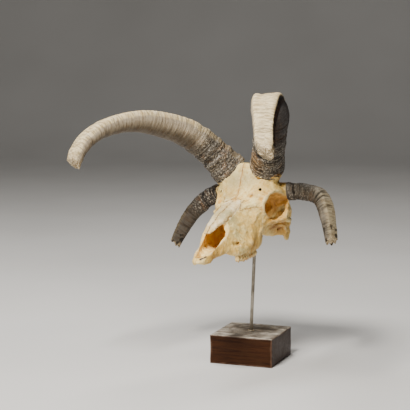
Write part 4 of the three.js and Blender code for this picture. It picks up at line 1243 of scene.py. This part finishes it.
def mark_horn(mesh, side, upper, at, shape, past, groove):
    """Writes what the horn materials read: faces, the dark base, old layers, breaks, grooves."""
    surface = points_of(mesh)

    def shifted(by, size):
        return at + by * roughness_at(surface, size)

    out = shape[:, 0] + 0.05 * roughness_at(surface, 9) + 0.03 * roughness_at(surface, 3.4)
    aside = shape[:, 1]
    # the concave inner side: dark keratin and painted shade
    inner = 1 - ramp(out, -0.42, -0.05)
    if upper:
        # the bleached face: between the keels, and on the right horn down its inner side too
        limit = 0.3 if side == LEFT else np.where(aside < 0, 0.16, 0.36)
        start, end = (0.12, 0.3) if side == LEFT else (-0.1, 0.06)
        face = ramp(out, limit, limit + 0.05)
        # painted shade on the left horn's right-hand face
        dark_side = ramp(-aside, 0.2, 0.3) * (1 - ramp(out, 0.3, 0.36))
        shade = np.maximum(inner, dark_side) if side == LEFT else 0.75 * inner
        give(mesh, "outer_face", face * ramp(shifted(0.03, 9), start, end))
        give(mesh, "inner_face_and_shade", shade * ramp(at, 0.08, 0.2))
        pale = 0.7 * face if side == RIGHT else 0
        give(mesh, "base_dark", (1 - ramp(shifted(0.04, 12), 0.08, 0.3)) * (1 - pale))
        give(mesh, "old", 1 - ramp(shifted(0.06, 14), 0.1, 0.42))
    else:
        give(mesh, "outer_face", 0.6 * ramp(out, 0.1, 0.4) * ramp(at, 0.25, 0.6))
        # painted shade: the inner face's dark coat, and over all of the right lower horn, which
        # stands in shadow; its base darker too
        give(mesh, "inner_face_and_shade", np.maximum(0.7 * inner, 0.7 if side == RIGHT else 0.0))
        darkest = 0.45 if side == LEFT else 0.7
        give(mesh, "base_dark", darkest * (1 - ramp(shifted(0.06, 9), 0.2, 0.6)))
        give(mesh, "old", 0.35 * np.ones(len(surface)))
        # painted holes near the broken tip: dark spots of painted shade, with no relief
        holes = ramp(roughness_at(surface, 3.4), 0.3, 0.45) * ramp(at, 0.7, 0.92)
        groove = np.maximum(groove, holes)
    give(mesh, "tan", bump(surface, (22, -72, 128), 26) * (upper and side == LEFT))
    give(mesh, "broken", np.maximum(ramp(past, 0, 0.2), 0.7 * ramp(at, 0.965, 1.0)))
    give(mesh, "groove", groove)


# ---------- teeth ----------

TOOTH_ROW_FRONT = -163.5
TOOTH_ROW_X = (27.2, 29.8)
TOOTH_LENGTHS = (5.3, 6.6, 7, 10.2, 11.8, 12.8)
TOOTH_WIDTHS = (6.5, 8.5, 9.5, 11, 11, 9.5)
TOOTH_TIP_Z = -5
TOOTH_ROOT_Z = 9
TOOTH_ROW_RISE = 4.2
PREMOLARS = 3


def tooth_lobes():
    """Each lobe's middle x and y, its length and width, and how far it stands out of line."""
    front = 0
    for index, (length, width) in enumerate(zip(TOOTH_LENGTHS, TOOTH_WIDTHS)):
        middle_x = np.interp((front + length / 2) / sum(TOOTH_LENGTHS), (0, 1), TOOTH_ROW_X)
        lobes = 1 if index < PREMOLARS else 2
        for lobe in range(lobes):
            run = length / lobes
            y = TOOTH_ROW_FRONT + front + run * (lobe + 0.5)
            yield middle_x, y, run, width, math.sin(index * 2.1 + lobe)
        front += length


def tooth_row(name, side):
    """One side's cheek teeth: three premolars of one lobe and three molars of two."""
    row = Mass()
    for middle_x, y, run, width, uneven in tooth_lobes():
        # the row curves up at the rear
        tip = TOOTH_TIP_Z + 0.7 * uneven + TOOTH_ROW_RISE * float(ramp(y, -140, -104))
        r = run * 0.47
        # the body of the lobe, then its blunt outer and inner cusps
        inner, outer = middle_x - width / 2, middle_x + width / 2
        row.hull(side, (inner + r, y, TOOTH_ROOT_Z, r), (inner + r, y, tip + 3, r * 0.9),
                 (outer - r, y, TOOTH_ROOT_Z, r), (outer - r, y, tip + 3, r * 0.92))
        row.hull(side, (outer - 2, y, tip + 4.4, r * 0.9), (outer - 1.8, y + 0.3, tip + 0.9, 1.1))
        row.hull(side, (inner + 1.8, y, tip + 4.4, r * 0.85), (inner + 1.8, y, tip + 1.6, 0.9))
    piece = row.fused(name, voxel=0.35, rounds=1)
    mesh = piece.data
    points = points_of(mesh)
    normals = normals_of(mesh)
    # half-moon pits in the chewing face
    pit = np.zeros(len(points))
    for middle_x, y, run, _, _ in tooth_lobes():
        dx = side * points[:, 0] - (middle_x + 0.8)
        dy = points[:, 1] - y
        in_lobe = 1 - ramp(np.abs(dy), run * 0.3, run * 0.42)
        pit = np.maximum(pit, (1 - ramp(np.abs(dx + 1.3 - 0.16 * dy**2), 0.3, 1.1)) * in_lobe)
    pit = pit * ramp(-normals[:, 2], 0.5, 0.8)
    set_points(mesh, points - normals * (1.1 * pit)[:, None])
    # hollows and chewing pits, for scale and painted shade in the enamel
    give(mesh, "hollow", np.maximum(hollowness(mesh, 4), 0.5 * pit))
    return piece


# ---------- the mount ----------

def wooden_block():
    """The block: rubbed edges, faces not quite flat."""
    bm = bmesh.new()
    bmesh.ops.create_cube(bm, size=1)
    bmesh.ops.scale(bm, verts=bm.verts, vec=BLOCK)
    bmesh.ops.translate(bm, verts=bm.verts, vec=(0, 0, BLOCK[2] / 2))
    bmesh.ops.subdivide_edges(bm, edges=bm.edges, cuts=40, use_grid_fill=True)
    bmesh.ops.recalc_face_normals(bm, faces=bm.faces)
    sharp = [edge for edge in bm.edges if edge.calc_face_angle(0) > 1]
    bmesh.ops.bevel(bm, geom=sharp, offset=BLOCK_BEVEL, offset_type="OFFSET", segments=4,
                    profile=0.5, affect="EDGES", material=-1, clamp_overlap=False)
    piece = object_from(bm, "wooden_block")
    mesh = piece.data
    points = points_of(mesh)
    normals = normals_of(mesh)
    inside = np.array(BLOCK) / 2 - np.abs(points - (0, 0, BLOCK[2] / 2))
    two_nearest = np.sort(inside, axis=1)[:, :2].sum(1)
    edge = 1 - ramp(two_nearest, 0.4, 2.6 + 1.4 * roughness_at(points, 9))
    wear = edge * (0.35 + 0.45 * roughness_at(points, 6)) + 0.12 * roughness_at(points, 18)
    wear = np.where(points[:, 2] < 1.5, 0, wear)
    set_points(mesh, points - normals * np.clip(wear, 0, 1)[:, None])
    give(mesh, "edge", edge)
    give(mesh, "top", ramp(normals[:, 2], 0.4, 0.9))
    return piece


def rod_matrix():
    """From the rod's own axes to its place: it leans a little, out of the block's top."""
    return (Matrix.Translation((0, 0, BLOCK[2])) @ Matrix.Rotation(ROD_LEAN_TOWARDS, 4, "Z")
            @ Matrix.Rotation(ROD_LEAN, 4, "Y"))


def steel_rod():
    """The rod, with a small chamfer at its top end."""
    top, chamfer = ROD_LENGTH - ROD_IN_BLOCK, 0.8
    profile = ((0, -ROD_IN_BLOCK), (ROD_RADIUS, -ROD_IN_BLOCK), (ROD_RADIUS, top - chamfer),
               (ROD_RADIUS - chamfer, top), (0, top))
    bm = bmesh.new()
    line = [bm.verts.new((radius, 0, height)) for radius, height in profile]
    edges = [bm.edges.new(pair) for pair in zip(line[:-1], line[1:])]
    bmesh.ops.spin(bm, geom=line + edges, cent=(0, 0, 0), axis=(0, 0, 1), angle=2 * math.pi,
                   steps=48, use_merge=True)
    bmesh.ops.remove_doubles(bm, verts=bm.verts, dist=1e-3)
    bmesh.ops.recalc_face_normals(bm, faces=bm.faces)
    bmesh.ops.transform(bm, verts=bm.verts, matrix=rod_matrix())
    return object_from(bm, "steel_rod")


def glue_spot():
    """Old plaster pressed round the rod's foot."""
    spot = Mass()
    dabs, top = 9, BLOCK[2]
    for dab in range(dabs):
        angle = dab / dabs * 2 * math.pi
        inner_angle = angle + 0.7
        reach, inner_reach = 3.2 + 1.4 * dice.random(), 2.6
        spot.hull(LEFT, (reach * math.cos(angle), reach * math.sin(angle), top - 0.4, 1.3),
                  (inner_reach * math.cos(inner_angle), inner_reach * math.sin(inner_angle),
                   top + 0.6, 0.9))
    return spot.fused("plaster_spot", voxel=0.35, rounds=3)


# ---------- putting it together ----------

def settle(piece, matrix, material, nodes, smooth_angle=None):
    """Puts a finished piece in its place in metres, shaded and finished, under the root body, and
    hides the frame's parts it stands for.
    """
    piece.data.transform(matrix)
    piece.data.materials.clear()
    piece.data.materials.append(material)
    piece.data.shade_smooth()
    if smooth_angle:
        piece.data.set_sharp_from_angle(angle=math.radians(smooth_angle))
    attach(piece, "root")
    if nodes:
        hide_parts(*nodes)


bone = dry_bone("dry_bone", "#EFD68C", "#E3BD66", "#D09C3A")
nasal_bone = dry_bone("bleached_nasal_bone", "#F0E4C2", "#E2CB96", "#D2A656")
enamel = tooth_enamel()
upper_finish = keratin("weathered_horn", "#63553F", "#B3A48C", "#DACDB4")
lower_finish = keratin("dark_weathered_horn", "#332D25", "#908676", "#D2C8B6")

head = build_mass()
whole_skin = BVHTree.FromPolygons([vert.co[:] for vert in head.data.vertices],
                                  [list(face.vertices) for face in head.data.polygons])
carve(head, build_hollows())
for side in (LEFT, RIGHT):
    for spec in (UPPER_HORN, LOWER_HORN):
        carve(head, object_from(horn_room(side, spec, HORN_GAP), "horn_room"))
apply_modifier(head, "REMESH", mode="VOXEL", voxel_size=0.95)
apply_modifier(head, "SMOOTH", factor=0.5, iterations=3)
sculpt(head)

for bone_name, piece in parted(head).items():
    stain_and_shade(piece, whole_skin)
    finish, slot = (nasal_bone, "nasal_bone") if bone_name.startswith("nasal") else (bone, "bone")
    settle(piece, SKULL_TO_WORLD, finish, [bone_name], 50)
    piece.name = f"{bone_name}_bone"

for side_name, side in SIDES:
    settle(tooth_row(f"cheek_teeth_{side_name}", side), SKULL_TO_WORLD, enamel, None)
    for level, spec, finish in (("upper", UPPER_HORN, upper_finish),
                                ("lower", LOWER_HORN, lower_finish)):
        horn = grown_horn(f"{level}_horn_sheath_{side_name}", side, spec)
        settle(horn, SKULL_TO_WORLD, finish, [f"horn_{level}_{side_name}"])

settle(steel_rod(), MM_TO_WORLD, drawn_steel(), ["stand_rod"], 40)
settle(wooden_block(), MM_TO_WORLD, stained_wood(), ["stand_block"])
settle(glue_spot(), MM_TO_WORLD, old_plaster(), None)


# ---------- floor, light and camera ----------

CAMERA_AZIMUTH = math.radians(20.347)
CAMERA_ELEVATION = math.radians(7.239)
CAMERA_DISTANCE = 2.0
VIEW_ASIDE = -0.067612
VIEW_HEIGHT = 0.227288
FOCAL_PIXELS = 1379.31
FRAME_PIXELS = 410
SENSOR_MM = 36

right_of_view = Vector((math.cos(CAMERA_AZIMUTH), math.sin(CAMERA_AZIMUTH), 0))
towards_camera = Vector((math.sin(CAMERA_AZIMUTH) * math.cos(CAMERA_ELEVATION),
                         -math.cos(CAMERA_AZIMUTH) * math.cos(CAMERA_ELEVATION),
                         math.sin(CAMERA_ELEVATION)))
up_of_view = towards_camera.cross(right_of_view)
view_centre = right_of_view * VIEW_ASIDE + Vector((0, 0, VIEW_HEIGHT))


def backdrop():
    """A pale board that lies flat and curves up far behind."""
    half, bend_at, bend = 6, 3.0, 1.5
    bm = bmesh.new()
    line = [bm.verts.new((-half, y, 0)) for y in (-half, bend_at)]
    line += [bm.verts.new((-half, bend_at + bend * math.sin(a), bend - bend * math.cos(a)))
             for a in np.linspace(0.1, math.pi / 2, 15)]
    line.append(bm.verts.new((-half, bend_at + bend, half)))
    edges = [bm.edges.new(pair) for pair in zip(line[:-1], line[1:])]
    grown = bmesh.ops.extrude_edge_only(bm, edges=edges)
    moved = [item for item in grown["geom"] if isinstance(item, bmesh.types.BMVert)]
    bmesh.ops.translate(bm, verts=moved, vec=(2 * half, 0, 0))
    bmesh.ops.recalc_face_normals(bm, faces=bm.faces)
    bmesh.ops.rotate(bm, verts=bm.verts, cent=(0, 0, 0),
                     matrix=Matrix.Rotation(CAMERA_AZIMUTH, 3, "Z"))
    board = object_from(bm, "backdrop")
    board.data.materials.append(painted_board())
    board.data.shade_smooth()


def soft_box(name, place, aim, size, watts, tint):
    lamp = bpy.data.lights.new(name, "AREA")
    lamp.shape = "RECTANGLE"
    lamp.size, lamp.size_y = size
    lamp.energy = watts
    lamp.color = tint
    holder = bpy.data.objects.new(name, lamp)
    holder.location = place
    holder.rotation_euler = (Vector(place) - Vector(aim)).to_track_quat("Z", "Y").to_euler()
    bpy.context.scene.collection.objects.link(holder)


backdrop()
front = Vector((towards_camera.x, towards_camera.y, 0)).normalized()
aim = Vector((0, -0.03, 0.22))
soft_box("key_light", right_of_view * -0.6 + front * 1.15 + Vector((0, 0, 1.75)), aim,
         size=(0.5, 0.4), watts=80, tint=(1.0, 0.97, 0.92))
soft_box("top_light", right_of_view * -0.5 + front * -0.5 + Vector((0, 0, 1.9)), aim,
         size=(0.8, 0.6), watts=22, tint=(1.0, 0.99, 0.97))

world = bpy.data.worlds.new("studio")
world.use_nodes = True
world.node_tree.nodes["Background"].inputs[0].default_value = colour("#C9CBCF")
world.node_tree.nodes["Background"].inputs[1].default_value = 0.035
bpy.context.scene.world = world

camera = bpy.data.cameras.new("camera")
camera.sensor_width = SENSOR_MM
camera.lens = FOCAL_PIXELS * SENSOR_MM / FRAME_PIXELS
camera.clip_start, camera.clip_end = 0.05, 50
camera_holder = bpy.data.objects.new("camera", camera)
turn = Matrix((right_of_view, up_of_view, towards_camera)).transposed().to_4x4()
camera_holder.matrix_world = (
    Matrix.Translation(view_centre + towards_camera * CAMERA_DISTANCE) @ turn)
bpy.context.scene.collection.objects.link(camera_holder)
bpy.context.scene.camera = camera_holder
